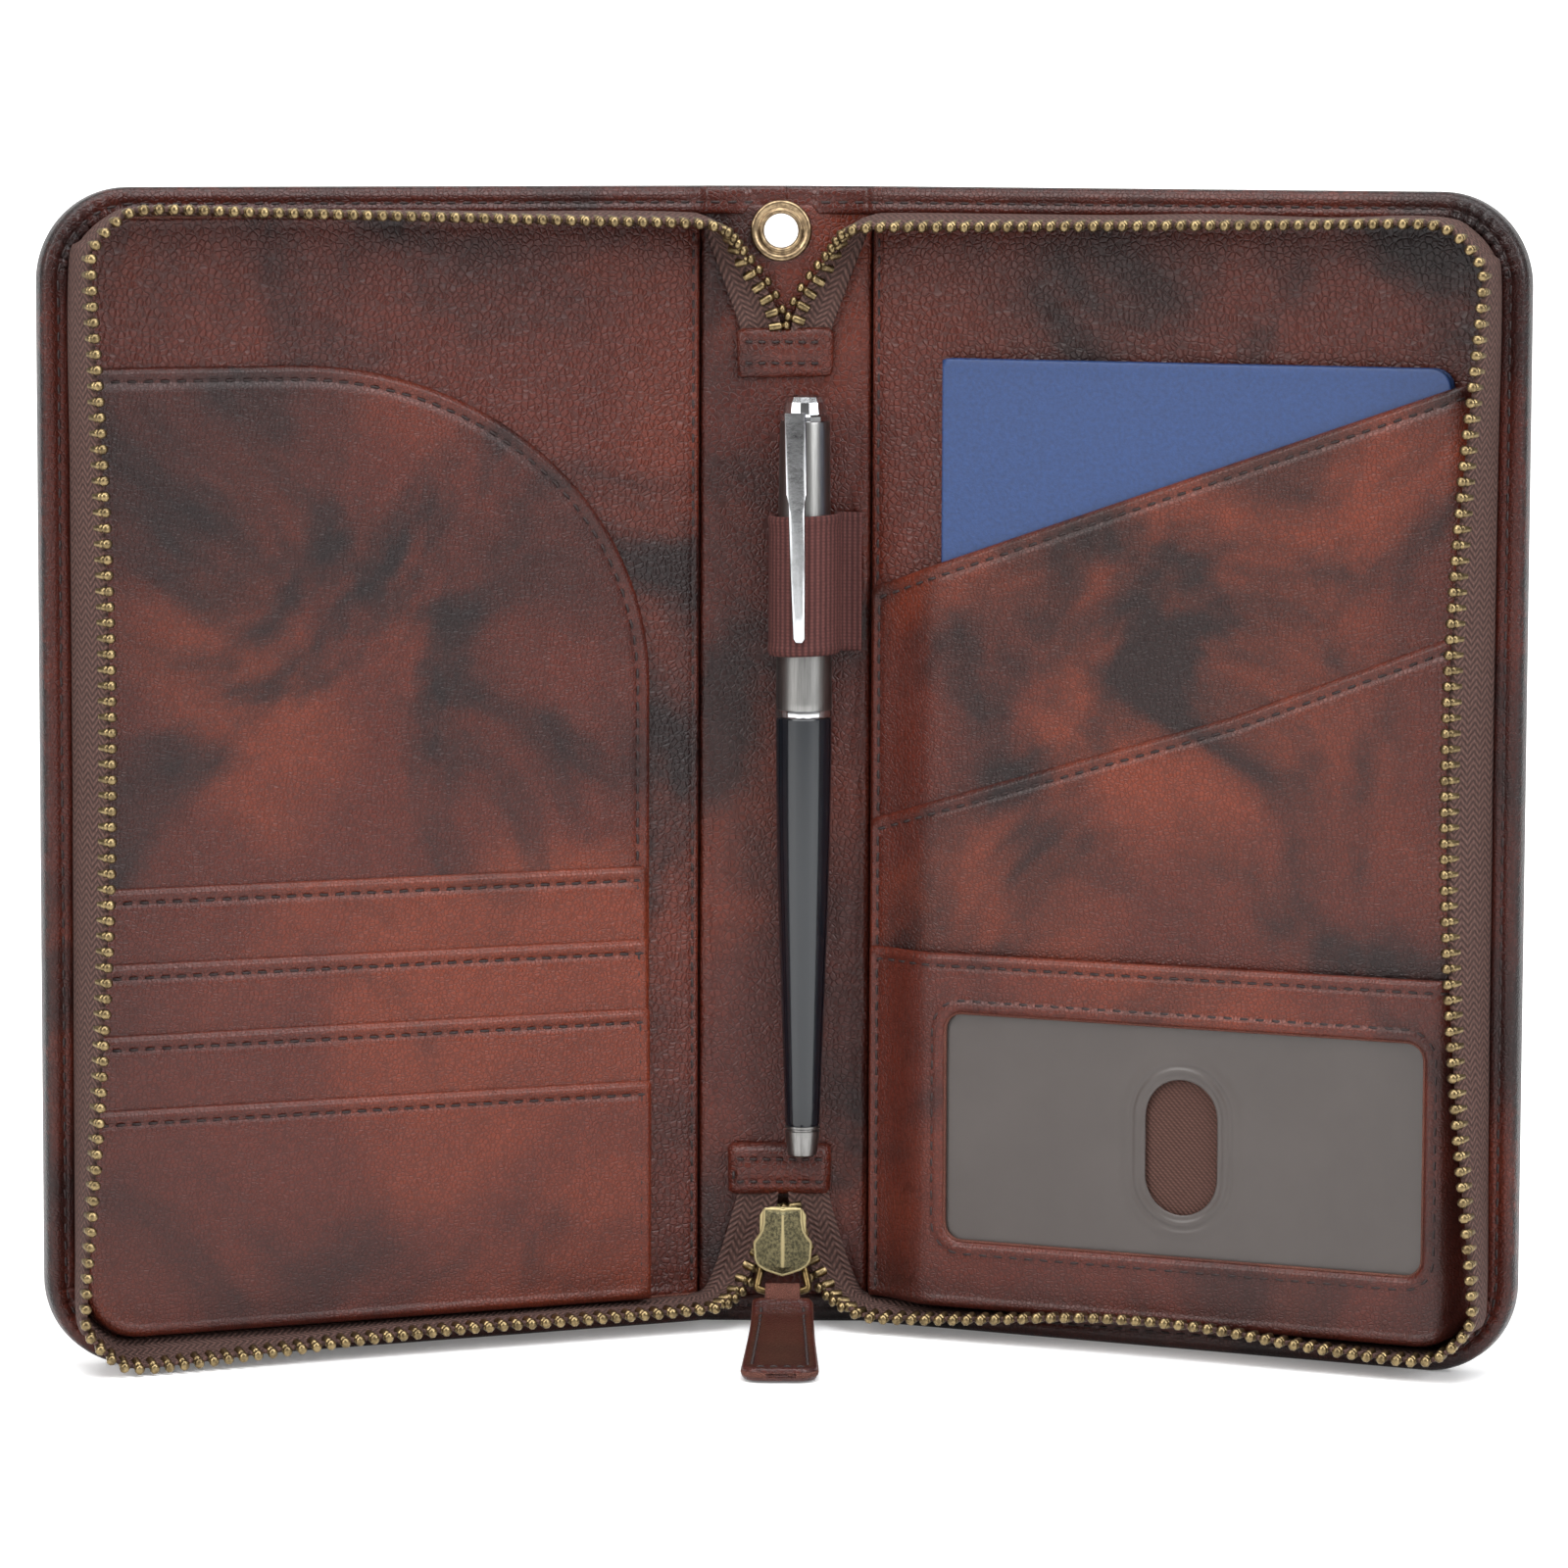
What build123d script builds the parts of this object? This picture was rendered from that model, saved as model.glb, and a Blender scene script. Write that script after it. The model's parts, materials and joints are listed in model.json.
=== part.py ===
from build123d import *
import os
from math import cos, hypot, radians, sin

os.makedirs("parts", exist_ok=True)

# Travel document organizer: two stiff leather covers hinged on a padded spine,
# closed all round by one zip, with pockets inside, a pen in a loop and a passport.
# Millimetres and degrees. +Z up, +X to the right of someone facing the open inside,
# which looks along -Y. It stands open on its lower edges.
# Cover coordinates: u runs from the fold line to the free edge, v up from the floor,
# and w from the back of the outer leather towards the inside.

# Overall sizes
HEIGHT = 190.0
COVER_WIDTH = 114.0
SPINE_WIDTH = 29.0
OPEN_ANGLE = 24.0
CORNER_RADIUS = 15.0

# Thicknesses, from the outside in
OUTER_LEATHER = 1.2
BOARD = 1.6
LINING = 0.9
RIM = 1.6
POCKET_LEATHER = 0.7
POCKET_CORNER = 9.0
SPINE_FILLER = 0.8
SPINE_INNER = 1.0
SEAM_GAP = 0.05

# Folds between spine and covers
FOLD_DEPTH = 1.5
FOLD_RADIUS = 1.4
COVER_START = 2.0

# Zip
RIM_WIDTH = 4.6
TAPE = 0.6
TAPE_START = 12.0
TAPE_BASE_RADIUS = 10.4
TAPE_TIP_FAR = 108.0
TAPE_TIP_LOW = 5.5
TAPE_TIP_HIGH = 185.0
TAPE_TIP_RADIUS = 9.0
TAPE_TOP = 13.7
TOOTH_PITCH = 2.5
TOOTH_LENGTH = 1.15
TOOTH_WIDTH = 1.7
TOOTH_TIP = 15.9

# Eyelet
EYELET_X = -0.9
EYELET_Z = 182.6
EYELET_BORE = 2.8
EYELET_BARREL = 3.2
EYELET_FLANGE = 5.05
EYELET_LIP = 0.5
EYELET_BULGE = 0.7

# Pen
PEN_X = 3.2
PEN_DEPTH = 9.2
PEN_TAIL = 29.1
PEN_TAIL_TOP = 34.2
CAP_MOUTH = 102.6
CAP_TOP = 155.9
BARREL_RADIUS = 4.65
LOOP_LOW = 113.0
LOOP_HIGH = 136.4
LOOP_INNER = 5.0
LOOP_WALL = 0.9

# Passport, the standard booklet size
PASSPORT_WIDTH = 88.0
PASSPORT_HEIGHT = 125.0
PASSPORT_NEAR = 14.3
PASSPORT_LOW = 37.0

# Pull
LINK_WIRE = 0.6
LINK_PIVOT_DEPTH = 7.75
LINK_PIVOT_Z = 12.4
LINK_END_DEPTH = 10.4
LINK_END_Z = 6.2
PULL_TIP_DEPTH = 58.0
PULL_TIP_Z = 1.35
PULL_THICKNESS = 2.2

# Worked out from the sizes above
LINING_TOP = OUTER_LEATHER + BOARD + LINING
SPINE_THICKNESS = OUTER_LEATHER + SPINE_FILLER + SPINE_INNER
SPINE_HALF = SPINE_WIDTH / 2 - FOLD_RADIUS
POCKET_FAR = COVER_WIDTH - RIM_WIDTH - 2.2
POCKET_LOW = RIM_WIDTH + 1.6
OPEN_COS = cos(radians(OPEN_ANGLE))
OPEN_SIN = sin(radians(OPEN_ANGLE))
TOOTH_FAR = TAPE_TIP_FAR - TAPE / 2 + TOOTH_WIDTH / 2
FRONT_DEPTH = FOLD_DEPTH + TOOTH_FAR * OPEN_SIN + (TOOTH_TIP - FOLD_DEPTH) * OPEN_COS
BACK_Y = (FRONT_DEPTH - EYELET_LIP) / 2

# The spine's plane lies on its back face and looks towards the inside. Each cover's plane
# turns about its fold line by the opening angle.
spine_plane = Plane(origin=(0, BACK_Y, 0), x_dir=(1, 0, 0), z_dir=(0, -1, 0))
left_plane = Plane(
    origin=(-SPINE_WIDTH / 2, BACK_Y - FOLD_DEPTH, 0),
    x_dir=(OPEN_COS, OPEN_SIN, 0),
    z_dir=(OPEN_SIN, -OPEN_COS, 0),
)
right_plane = Plane(
    origin=(SPINE_WIDTH / 2, BACK_Y - FOLD_DEPTH, 0),
    x_dir=(OPEN_COS, -OPEN_SIN, 0),
    z_dir=(-OPEN_SIN, -OPEN_COS, 0),
)
SIDES = (("left", -1, left_plane), ("right", 1, right_plane))


def at_w(cover_plane, w):
    """The plane parallel to a cover at height w above its outer leather's back."""
    return cover_plane.offset(w - FOLD_DEPTH)


def cover_outline(sign, inset):
    """Face with square corners at the fold and round ones at the free edge."""
    near = sign * COVER_START
    far = sign * (COVER_WIDTH - inset)
    low = inset
    high = HEIGHT - inset
    with BuildLine() as outline:
        edge = FilletPolyline(
            (near, low), (far, low), (far, high), (near, high), radius=CORNER_RADIUS - inset
        )
        Line(edge @ 1, edge @ 0)
    make_face(outline.edges())


def zip_band(sign, far, low, high, radius):
    """C-shaped section through the upright zip tape, open towards the spine."""
    start = sign * TAPE_START
    with BuildLine() as outline:
        outside = FilletPolyline(
            (start, low), (sign * far, low), (sign * far, high), (start, high), radius=radius
        )
        inside = FilletPolyline(
            (start, low + TAPE),
            (sign * (far - TAPE), low + TAPE),
            (sign * (far - TAPE), high - TAPE),
            (start, high - TAPE),
            radius=radius - TAPE,
        )
        Line(outside @ 0, inside @ 0)
        Line(outside @ 1, inside @ 1)
    make_face(outline.edges())


def slanted_face(sign, near, far, low, top_near, top_far):
    """Face whose top edge slants, its heights given at near and far. The lower corner is
    round where it lies in the cover's own round corner."""
    in_corner = far > COVER_WIDTH - CORNER_RADIUS and low < CORNER_RADIUS
    round_off = POCKET_CORNER if in_corner and far - near > POCKET_CORNER else 0
    with BuildLine() as outline:
        Polyline(
            (sign * far, low + round_off),
            (sign * far, top_far),
            (sign * near, top_near),
            (sign * near, low),
            (sign * (far - round_off), low),
        )
        if round_off:
            TangentArc((sign * (far - round_off), low), (sign * far, low + round_off),
                       tangent=(sign, 0))
    make_face(outline.edges())


# Covers -----------------------------------------------------------------------------------

for side, sign, cover_plane in SIDES:
    with BuildPart() as outer_leather:
        with BuildSketch(at_w(cover_plane, 0)):
            cover_outline(sign, 0)
        extrude(amount=OUTER_LEATHER)
    outer_leather.part.label = f"{side}_outer_leather"
    export_step(outer_leather.part, f"parts/{side}_outer_leather.step")

    with BuildPart() as board:
        with BuildSketch(at_w(cover_plane, OUTER_LEATHER)):
            cover_outline(sign, RIM)
        extrude(amount=BOARD)
    board.part.label = f"{side}_board"
    export_step(board.part, f"parts/{side}_board.step")

    # The outer leather's edge, turned over the board all round
    with BuildPart() as rim:
        with BuildSketch(at_w(cover_plane, OUTER_LEATHER)):
            cover_outline(sign, 0)
        extrude(amount=BOARD + RIM)
        with BuildSketch(at_w(cover_plane, OUTER_LEATHER)):
            cover_outline(sign, RIM)
        extrude(amount=BOARD, mode=Mode.SUBTRACT)
        with BuildSketch(at_w(cover_plane, OUTER_LEATHER + BOARD)):
            cover_outline(sign, RIM_WIDTH)
        extrude(amount=RIM, mode=Mode.SUBTRACT)
    rim.part.label = f"{side}_rim"
    export_step(rim.part, f"parts/{side}_rim.step")

    with BuildPart() as lining:
        with BuildSketch(at_w(cover_plane, OUTER_LEATHER + BOARD)):
            cover_outline(sign, RIM_WIDTH + TAPE)
        extrude(amount=LINING)
    lining.part.label = f"{side}_lining"
    export_step(lining.part, f"parts/{side}_lining.step")

# Zip tapes and teeth of the covers ---------------------------------------------------------

TAPE_BASE_FAR = COVER_WIDTH - RIM_WIDTH
TAPE_BASE_HIGH = HEIGHT - RIM_WIDTH

for side, sign, cover_plane in SIDES:
    # The tape's foot is sewn in between rim and lining, and its wall leans to the tooth line
    with BuildPart() as zip_tape:
        with BuildSketch(at_w(cover_plane, LINING_TOP)):
            zip_band(sign, TAPE_BASE_FAR, RIM_WIDTH, TAPE_BASE_HIGH, TAPE_BASE_RADIUS)
        with BuildSketch(at_w(cover_plane, TAPE_TOP)):
            zip_band(sign, TAPE_TIP_FAR, TAPE_TIP_LOW, TAPE_TIP_HIGH, TAPE_TIP_RADIUS)
        loft(ruled=True)
    zip_tape.part.label = f"{side}_zip_tape"
    export_step(zip_tape.part, f"parts/{side}_zip_tape.step")

    # Teeth straddle the tape's edge, half a pitch out of step between the two covers
    middle = TAPE / 2
    with BuildLine(at_w(cover_plane, TAPE_TOP)) as tooth_line:
        FilletPolyline(
            (sign * TAPE_START, TAPE_TIP_LOW + middle),
            (sign * (TAPE_TIP_FAR - middle), TAPE_TIP_LOW + middle),
            (sign * (TAPE_TIP_FAR - middle), TAPE_TIP_HIGH - middle),
            (sign * TAPE_START, TAPE_TIP_HIGH - middle),
            radius=TAPE_TIP_RADIUS - middle,
        )
    tooth_wire = tooth_line.wire()
    tooth_count = int(tooth_wire.length / TOOTH_PITCH) - 1
    first = TOOTH_PITCH * (0.5 if side == "left" else 1.0)
    tooth_places = []
    for index in range(tooth_count):
        share = (first + index * TOOTH_PITCH) / tooth_wire.length
        tooth_places.append(
            Plane(origin=tooth_wire @ share, x_dir=tooth_wire % share, z_dir=cover_plane.z_dir)
        )
    with BuildPart() as zip_teeth:
        with Locations(*tooth_places):
            Box(
                TOOTH_LENGTH,
                TOOTH_WIDTH,
                TOOTH_TIP - TAPE_TOP,
                align=(Align.CENTER, Align.CENTER, Align.MIN),
            )
    zip_teeth.part.label = f"{side}_zip_teeth"
    export_step(zip_teeth.part, f"parts/{side}_zip_teeth.step")

# Left cover's pockets ----------------------------------------------------------------------

SLIP_NEAR = 9.7
SLIP_TOP = 161.3
SLIP_CURVE_U = 72.0
SLIP_CURVE_V = 108.0
SLIP_BASE = LINING_TOP + SEAM_GAP

# Large slip pocket whose top edge sweeps down to the spine in one quarter of an ellipse
with BuildPart() as left_slip_pocket:
    with BuildSketch(at_w(left_plane, SLIP_BASE)):
        with BuildLine():
            curve = EllipticalCenterArc(
                (-SLIP_CURVE_U, SLIP_CURVE_V),
                SLIP_CURVE_U - SLIP_NEAR,
                SLIP_TOP - SLIP_CURVE_V,
                start_angle=0,
                arc_size=90,
            )
            Polyline(curve @ 1, (-POCKET_FAR, SLIP_TOP), (-POCKET_FAR, POCKET_LOW + POCKET_CORNER))
            TangentArc(
                (-POCKET_FAR, POCKET_LOW + POCKET_CORNER),
                (POCKET_CORNER - POCKET_FAR, POCKET_LOW),
                tangent=(0, -1),
            )
            Polyline((POCKET_CORNER - POCKET_FAR, POCKET_LOW), (-SLIP_NEAR, POCKET_LOW), curve @ 0)
        make_face()
    extrude(amount=POCKET_LEATHER)
left_slip_pocket.part.label = "left_slip_pocket"
export_step(left_slip_pocket.part, "parts/left_slip_pocket.step")

# Four card slots, each in front of the one above it
CARD_SLOT_TOPS = (77.5, 65.4, 53.9, 41.9)
CARD_SLOT_OVERLAP = 3.5
CARD_SLOT_LEATHER = 0.6
CARD_SLOT_NEAR = 10.3
card_base = SLIP_BASE + POCKET_LEATHER + SEAM_GAP
for number, slot_top in enumerate(CARD_SLOT_TOPS, start=1):
    if number < len(CARD_SLOT_TOPS):
        slot_low = CARD_SLOT_TOPS[number] - CARD_SLOT_OVERLAP
    else:
        slot_low = POCKET_LOW
    with BuildPart() as card_slot:
        with BuildSketch(at_w(left_plane, card_base)):
            slanted_face(-1, CARD_SLOT_NEAR, POCKET_FAR, slot_low, slot_top, slot_top)
        extrude(amount=CARD_SLOT_LEATHER)
    card_slot.part.label = f"card_slot_{number}"
    export_step(card_slot.part, f"parts/card_slot_{number}.step")
    card_base += CARD_SLOT_LEATHER + SEAM_GAP

# Right cover's pockets ---------------------------------------------------------------------

PASSPORT_CLEARANCE = 0.3
PASSPORT_THICKNESS = 2.2
PASSPORT_BASE = LINING_TOP + PASSPORT_CLEARANCE
POCKET_BASE = LINING_TOP + SEAM_GAP
POCKET_FACE = PASSPORT_BASE + PASSPORT_THICKNESS + PASSPORT_CLEARANCE
FLANGE_NEAR = 4.0
STEP_U = 13.6
SIDE_WALL_FAR = 103.2
PASSPORT_TOP_NEAR = 124.9
PASSPORT_TOP_SLOPE = 0.3433
SLANT_TOP_NEAR = 86.6
SLANT_TOP_SLOPE = 0.336
ID_TOP = 64.0


def passport_pocket_top(u):
    """Height of the passport pocket's slanting mouth at u."""
    return PASSPORT_TOP_NEAR + PASSPORT_TOP_SLOPE * (u - FLANGE_NEAR)


def slant_pocket_top(u):
    """Height of the slant pocket's mouth at u."""
    return SLANT_TOP_NEAR + SLANT_TOP_SLOPE * (u - FLANGE_NEAR)


def id_pocket_top(u):
    """Height of the card window pocket's level mouth."""
    return ID_TOP


def stepped_pocket(flange_base, face_base, step_u, top_of):
    """Pocket leather sewn low along the spine side and stepped up over what it holds."""
    wall_near = step_u - POCKET_LEATHER
    with BuildSketch(at_w(right_plane, flange_base)) as flange:
        slanted_face(1, FLANGE_NEAR, step_u, POCKET_LOW, top_of(FLANGE_NEAR), top_of(step_u))
    extrude(flange.sketch, amount=POCKET_LEATHER)
    with BuildSketch(at_w(right_plane, flange_base)) as wall:
        slanted_face(1, wall_near, step_u, POCKET_LOW, top_of(wall_near), top_of(step_u))
    extrude(wall.sketch, amount=face_base - flange_base)
    with BuildSketch(at_w(right_plane, face_base)) as face:
        slanted_face(1, wall_near, POCKET_FAR, POCKET_LOW, top_of(wall_near), top_of(POCKET_FAR))
    extrude(face.sketch, amount=POCKET_LEATHER)


# The passport pocket also has a far side wall and a floor seam below the booklet
with BuildPart() as passport_pocket:
    stepped_pocket(POCKET_BASE, POCKET_FACE, STEP_U, passport_pocket_top)
    with BuildSketch(at_w(right_plane, POCKET_BASE)):
        slanted_face(
            1,
            STEP_U,
            POCKET_FAR,
            POCKET_LOW,
            passport_pocket_top(STEP_U),
            passport_pocket_top(POCKET_FAR),
        )
        with Locations((STEP_U, PASSPORT_LOW - PASSPORT_CLEARANCE)):
            Rectangle(
                SIDE_WALL_FAR - STEP_U,
                PASSPORT_HEIGHT + PASSPORT_CLEARANCE,
                align=(Align.MIN, Align.MIN),
                mode=Mode.SUBTRACT,
            )
    extrude(amount=POCKET_FACE - POCKET_BASE)
passport_pocket.part.label = "passport_pocket"
export_step(passport_pocket.part, "parts/passport_pocket.step")

SLANT_FLANGE = POCKET_BASE + POCKET_LEATHER + SEAM_GAP
SLANT_FACE = POCKET_FACE + POCKET_LEATHER + SEAM_GAP
SLANT_STEP = STEP_U - POCKET_LEATHER - SEAM_GAP
with BuildPart() as slant_pocket:
    stepped_pocket(SLANT_FLANGE, SLANT_FACE, SLANT_STEP, slant_pocket_top)
slant_pocket.part.label = "slant_pocket"
export_step(slant_pocket.part, "parts/slant_pocket.step")

# Card window pocket: woven backing, card gap, clear film with a thumb slot, leather frame
BACKING = 0.3
CARD_GAP = 1.0
FILM = 0.3
WINDOW_NEAR = 17.1
WINDOW_FAR = 100.7
WINDOW_LOW = 16.2
WINDOW_HIGH = 54.4
WINDOW_CORNER = 3.0
WINDOW_SEAM = 2.5
THUMB_U = 58.8
THUMB_V = 34.4
THUMB_WIDTH = 12.5
THUMB_HEIGHT = 22.3
ID_BACKING = SLANT_FACE + POCKET_LEATHER + SEAM_GAP
ID_FILM = ID_BACKING + BACKING + CARD_GAP
ID_FACE = ID_FILM + FILM + SEAM_GAP
ID_FLANGE = SLANT_FLANGE + POCKET_LEATHER + SEAM_GAP
ID_STEP = SLANT_STEP - POCKET_LEATHER - SEAM_GAP
WINDOW_PLACE = ((WINDOW_NEAR + WINDOW_FAR) / 2, (WINDOW_LOW + WINDOW_HIGH) / 2)
WINDOW_SIZE = (WINDOW_FAR - WINDOW_NEAR, WINDOW_HIGH - WINDOW_LOW)

with BuildPart() as id_pocket_frame:
    stepped_pocket(ID_FLANGE, ID_FACE, ID_STEP, id_pocket_top)
    with BuildSketch(at_w(right_plane, ID_FACE)):
        with Locations(WINDOW_PLACE):
            RectangleRounded(*WINDOW_SIZE, WINDOW_CORNER)
    extrude(amount=POCKET_LEATHER, mode=Mode.SUBTRACT)
id_pocket_frame.part.label = "id_pocket_frame"
export_step(id_pocket_frame.part, "parts/id_pocket_frame.step")

with BuildPart() as id_window_film:
    with BuildSketch(at_w(right_plane, ID_FILM)):
        with Locations(WINDOW_PLACE):
            Rectangle(WINDOW_SIZE[0] + 2 * WINDOW_SEAM, WINDOW_SIZE[1] + 2 * WINDOW_SEAM)
        with Locations((THUMB_U, THUMB_V)):
            SlotOverall(THUMB_HEIGHT, THUMB_WIDTH, rotation=90, mode=Mode.SUBTRACT)
    extrude(amount=FILM)
id_window_film.part.label = "id_window_film"
export_step(id_window_film.part, "parts/id_window_film.step")

with BuildPart() as id_window_backing:
    with BuildSketch(at_w(right_plane, ID_BACKING)):
        slanted_face(1, STEP_U, POCKET_FAR, POCKET_LOW, ID_TOP - 1, ID_TOP - 1)
    extrude(amount=BACKING)
id_window_backing.part.label = "id_window_backing"
export_step(id_window_backing.part, "parts/id_window_backing.step")

# Passport ----------------------------------------------------------------------------------

PASSPORT_COVER = 0.4
PASSPORT_CORNER = 3.2
PASSPORT_FOLD = 0.6
PAGE_INSET = 0.8
PASSPORT_TOP = PASSPORT_LOW + PASSPORT_HEIGHT
PASSPORT_FAR = PASSPORT_NEAR + PASSPORT_WIDTH


def booklet_outline(near, far, low, high, corner):
    """Booklet face: square at its fold, round at the two opening corners."""
    with BuildLine() as outline:
        edge = FilletPolyline((near, low), (far, low), (far, high), (near, high), radius=corner)
        Line(edge @ 1, edge @ 0)
    make_face(outline.edges())


with BuildPart() as passport_cover:
    with BuildSketch(at_w(right_plane, PASSPORT_BASE)):
        booklet_outline(PASSPORT_NEAR, PASSPORT_FAR, PASSPORT_LOW, PASSPORT_TOP, PASSPORT_CORNER)
    extrude(amount=PASSPORT_THICKNESS)
    with BuildSketch(at_w(right_plane, PASSPORT_BASE + PASSPORT_COVER)):
        with Locations((PASSPORT_NEAR + PASSPORT_FOLD, PASSPORT_LOW - 1)):
            Rectangle(PASSPORT_WIDTH, PASSPORT_HEIGHT + 2, align=(Align.MIN, Align.MIN))
    extrude(amount=PASSPORT_THICKNESS - 2 * PASSPORT_COVER, mode=Mode.SUBTRACT)
passport_cover.part.label = "passport_cover"
export_step(passport_cover.part, "parts/passport_cover.step")

with BuildPart() as passport_pages:
    with BuildSketch(at_w(right_plane, PASSPORT_BASE + PASSPORT_COVER)):
        booklet_outline(
            PASSPORT_NEAR + PASSPORT_FOLD,
            PASSPORT_FAR - PAGE_INSET,
            PASSPORT_LOW + PAGE_INSET,
            PASSPORT_TOP - PAGE_INSET,
            PASSPORT_CORNER,
        )
    extrude(amount=PASSPORT_THICKNESS - 2 * PASSPORT_COVER)
passport_pages.part.label = "passport_pages"
export_step(passport_pages.part, "parts/passport_pages.step")

# Spine -------------------------------------------------------------------------------------

SPINE_EDGE_INSET = 3.0


def spine_layer(depth, thickness, inset):
    """One layer of the spine, pierced for the eyelet's barrel."""
    with BuildSketch(spine_plane.offset(depth)) as layer:
        with Locations((0, HEIGHT / 2)):
            Rectangle(2 * (SPINE_HALF - inset), HEIGHT - 2 * inset)
        with Locations((EYELET_X, EYELET_Z)):
            Circle(EYELET_BARREL, mode=Mode.SUBTRACT)
    extrude(layer.sketch, amount=thickness)


with BuildPart() as spine_outer_leather:
    spine_layer(0, OUTER_LEATHER, 0)
spine_outer_leather.part.label = "spine_outer_leather"
export_step(spine_outer_leather.part, "parts/spine_outer_leather.step")

with BuildPart() as spine_stiffener:
    spine_layer(OUTER_LEATHER, SPINE_FILLER, SPINE_EDGE_INSET)
spine_stiffener.part.label = "spine_stiffener"
export_step(spine_stiffener.part, "parts/spine_stiffener.step")

with BuildPart() as spine_inner_leather:
    spine_layer(OUTER_LEATHER + SPINE_FILLER, SPINE_INNER, 0)
spine_inner_leather.part.label = "spine_inner_leather"
export_step(spine_inner_leather.part, "parts/spine_inner_leather.step")

# Fold strips: the leather that bends between the spine and each cover
for side, sign, cover_plane in SIDES:
    with BuildPart() as fold:
        with BuildSketch(Plane.XY):
            with Locations((sign * SPINE_WIDTH / 2, BACK_Y - FOLD_DEPTH)):
                Circle(FOLD_RADIUS)
        extrude(amount=HEIGHT)
    fold.part.label = f"{side}_fold"
    export_step(fold.part, f"parts/{side}_fold.step")

# Eyelet: front flange and barrel in one, and the washer its back end is rolled over
with BuildPart() as eyelet:
    with BuildSketch(spine_plane.offset(SPINE_THICKNESS)):
        with Locations((EYELET_X, EYELET_Z)):
            Circle(EYELET_FLANGE)
            Circle(EYELET_BORE, mode=Mode.SUBTRACT)
    extrude(amount=EYELET_BULGE)
    with BuildSketch(spine_plane.offset(-EYELET_LIP)):
        with Locations((EYELET_X, EYELET_Z)):
            Circle(EYELET_BARREL)
            Circle(EYELET_BORE, mode=Mode.SUBTRACT)
    extrude(amount=EYELET_LIP + SPINE_THICKNESS + EYELET_BULGE)
    flange_rim = eyelet.edges().filter_by(GeomType.CIRCLE).group_by(Axis.Y)[0]
    fillet(flange_rim.sort_by(SortBy.RADIUS)[-1], EYELET_BULGE * 0.6)
eyelet.part.label = "eyelet"
export_step(eyelet.part, "parts/eyelet.step")

with BuildPart() as eyelet_washer:
    with BuildSketch(spine_plane.offset(-EYELET_LIP)):
        with Locations((EYELET_X, EYELET_Z)):
            Circle(EYELET_FLANGE)
            Circle(EYELET_BARREL, mode=Mode.SUBTRACT)
    extrude(amount=EYELET_LIP)
eyelet_washer.part.label = "eyelet_washer"
export_step(eyelet_washer.part, "parts/eyelet_washer.step")

# Zip ends: two flat arms at each end of the spine that meet under a sewn leather tab. They end
# short of the folds, so the covers close past them.
TOP_TAB_LOW = 158.5
TOP_TAB_HIGH = 166.6
TOP_TAB_HALF = 8.0
TOP_TAB_FRONT = 4.5
TOP_ARM_BASE = SPINE_THICKNESS + SEAM_GAP
TOP_ARM = ((1, 159.6), (6.9, 159.6), (6.9, 166.6), (11.2, 178.6), (11.2, 182.5), (9.5, 182.5),
           (8.3, 180.3), (5.6, 176.3), (2.6, 172), (1, 167.5))
BOTTOM_TAB_LOW = 21.8
BOTTOM_TAB_HIGH = 30.3
BOTTOM_TAB_HALF = 8.6
BOTTOM_TAB_FRONT = 6.0
BOTTOM_ARM_BASE = 4.5
BOTTOM_ARM = ((0.9, 29.2), (7.4, 29.2), (7.5, 21.8), (11.2, 9.5), (11.2, 3.9), (8, 3.4),
              (4.8, 9), (2.5, 14), (0.9, 21))
TAB_LEATHER = 0.8


def end_tab(low, high, half, front):
    """Leather tab sewn down over the joined tape ends, hollow underneath."""
    middle_v = (low + high) / 2
    with BuildSketch(spine_plane.offset(SPINE_THICKNESS)) as patch:
        with Locations((0, middle_v)):
            Rectangle(2 * half, high - low)
    extrude(patch.sketch, amount=front - SPINE_THICKNESS)


with BuildPart() as top_tab:
    end_tab(TOP_TAB_LOW, TOP_TAB_HIGH, TOP_TAB_HALF, TOP_TAB_FRONT)
    with BuildSketch(spine_plane.offset(SPINE_THICKNESS)):
        with Locations((0, TOP_TAB_HIGH + 1)):
            Rectangle(
                2 * (TOP_TAB_HALF - TAB_LEATHER),
                TOP_TAB_HIGH - TOP_TAB_LOW,
                align=(Align.CENTER, Align.MAX),
            )
    extrude(amount=TOP_TAB_FRONT - SPINE_THICKNESS - TAB_LEATHER, mode=Mode.SUBTRACT)
top_tab.part.label = "top_tab"
export_step(top_tab.part, "parts/top_tab.step")

with BuildPart() as bottom_tab:
    end_tab(BOTTOM_TAB_LOW, BOTTOM_TAB_HIGH, BOTTOM_TAB_HALF, BOTTOM_TAB_FRONT)
    with BuildSketch(spine_plane.offset(SPINE_THICKNESS)):
        with Locations((0, BOTTOM_TAB_LOW - 1)):
            Rectangle(
                2 * (BOTTOM_TAB_HALF - TAB_LEATHER),
                BOTTOM_TAB_HIGH - BOTTOM_TAB_LOW,
                align=(Align.CENTER, Align.MIN),
            )
    extrude(amount=BOTTOM_TAB_FRONT - SPINE_THICKNESS - TAB_LEATHER, mode=Mode.SUBTRACT)
bottom_tab.part.label = "bottom_tab"
export_step(bottom_tab.part, "parts/bottom_tab.step")

for end, arm, base in (("top", TOP_ARM, TOP_ARM_BASE), ("bottom", BOTTOM_ARM, BOTTOM_ARM_BASE)):
    with BuildPart() as end_tape:
        with BuildSketch(spine_plane.offset(base)):
            for sign in (-1, 1):
                Polygon(*[(sign * x, z) for x, z in arm], align=None)
        extrude(amount=TAPE)
    end_tape.part.label = f"{end}_end_tape"
    export_step(end_tape.part, f"parts/{end}_end_tape.step")

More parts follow.
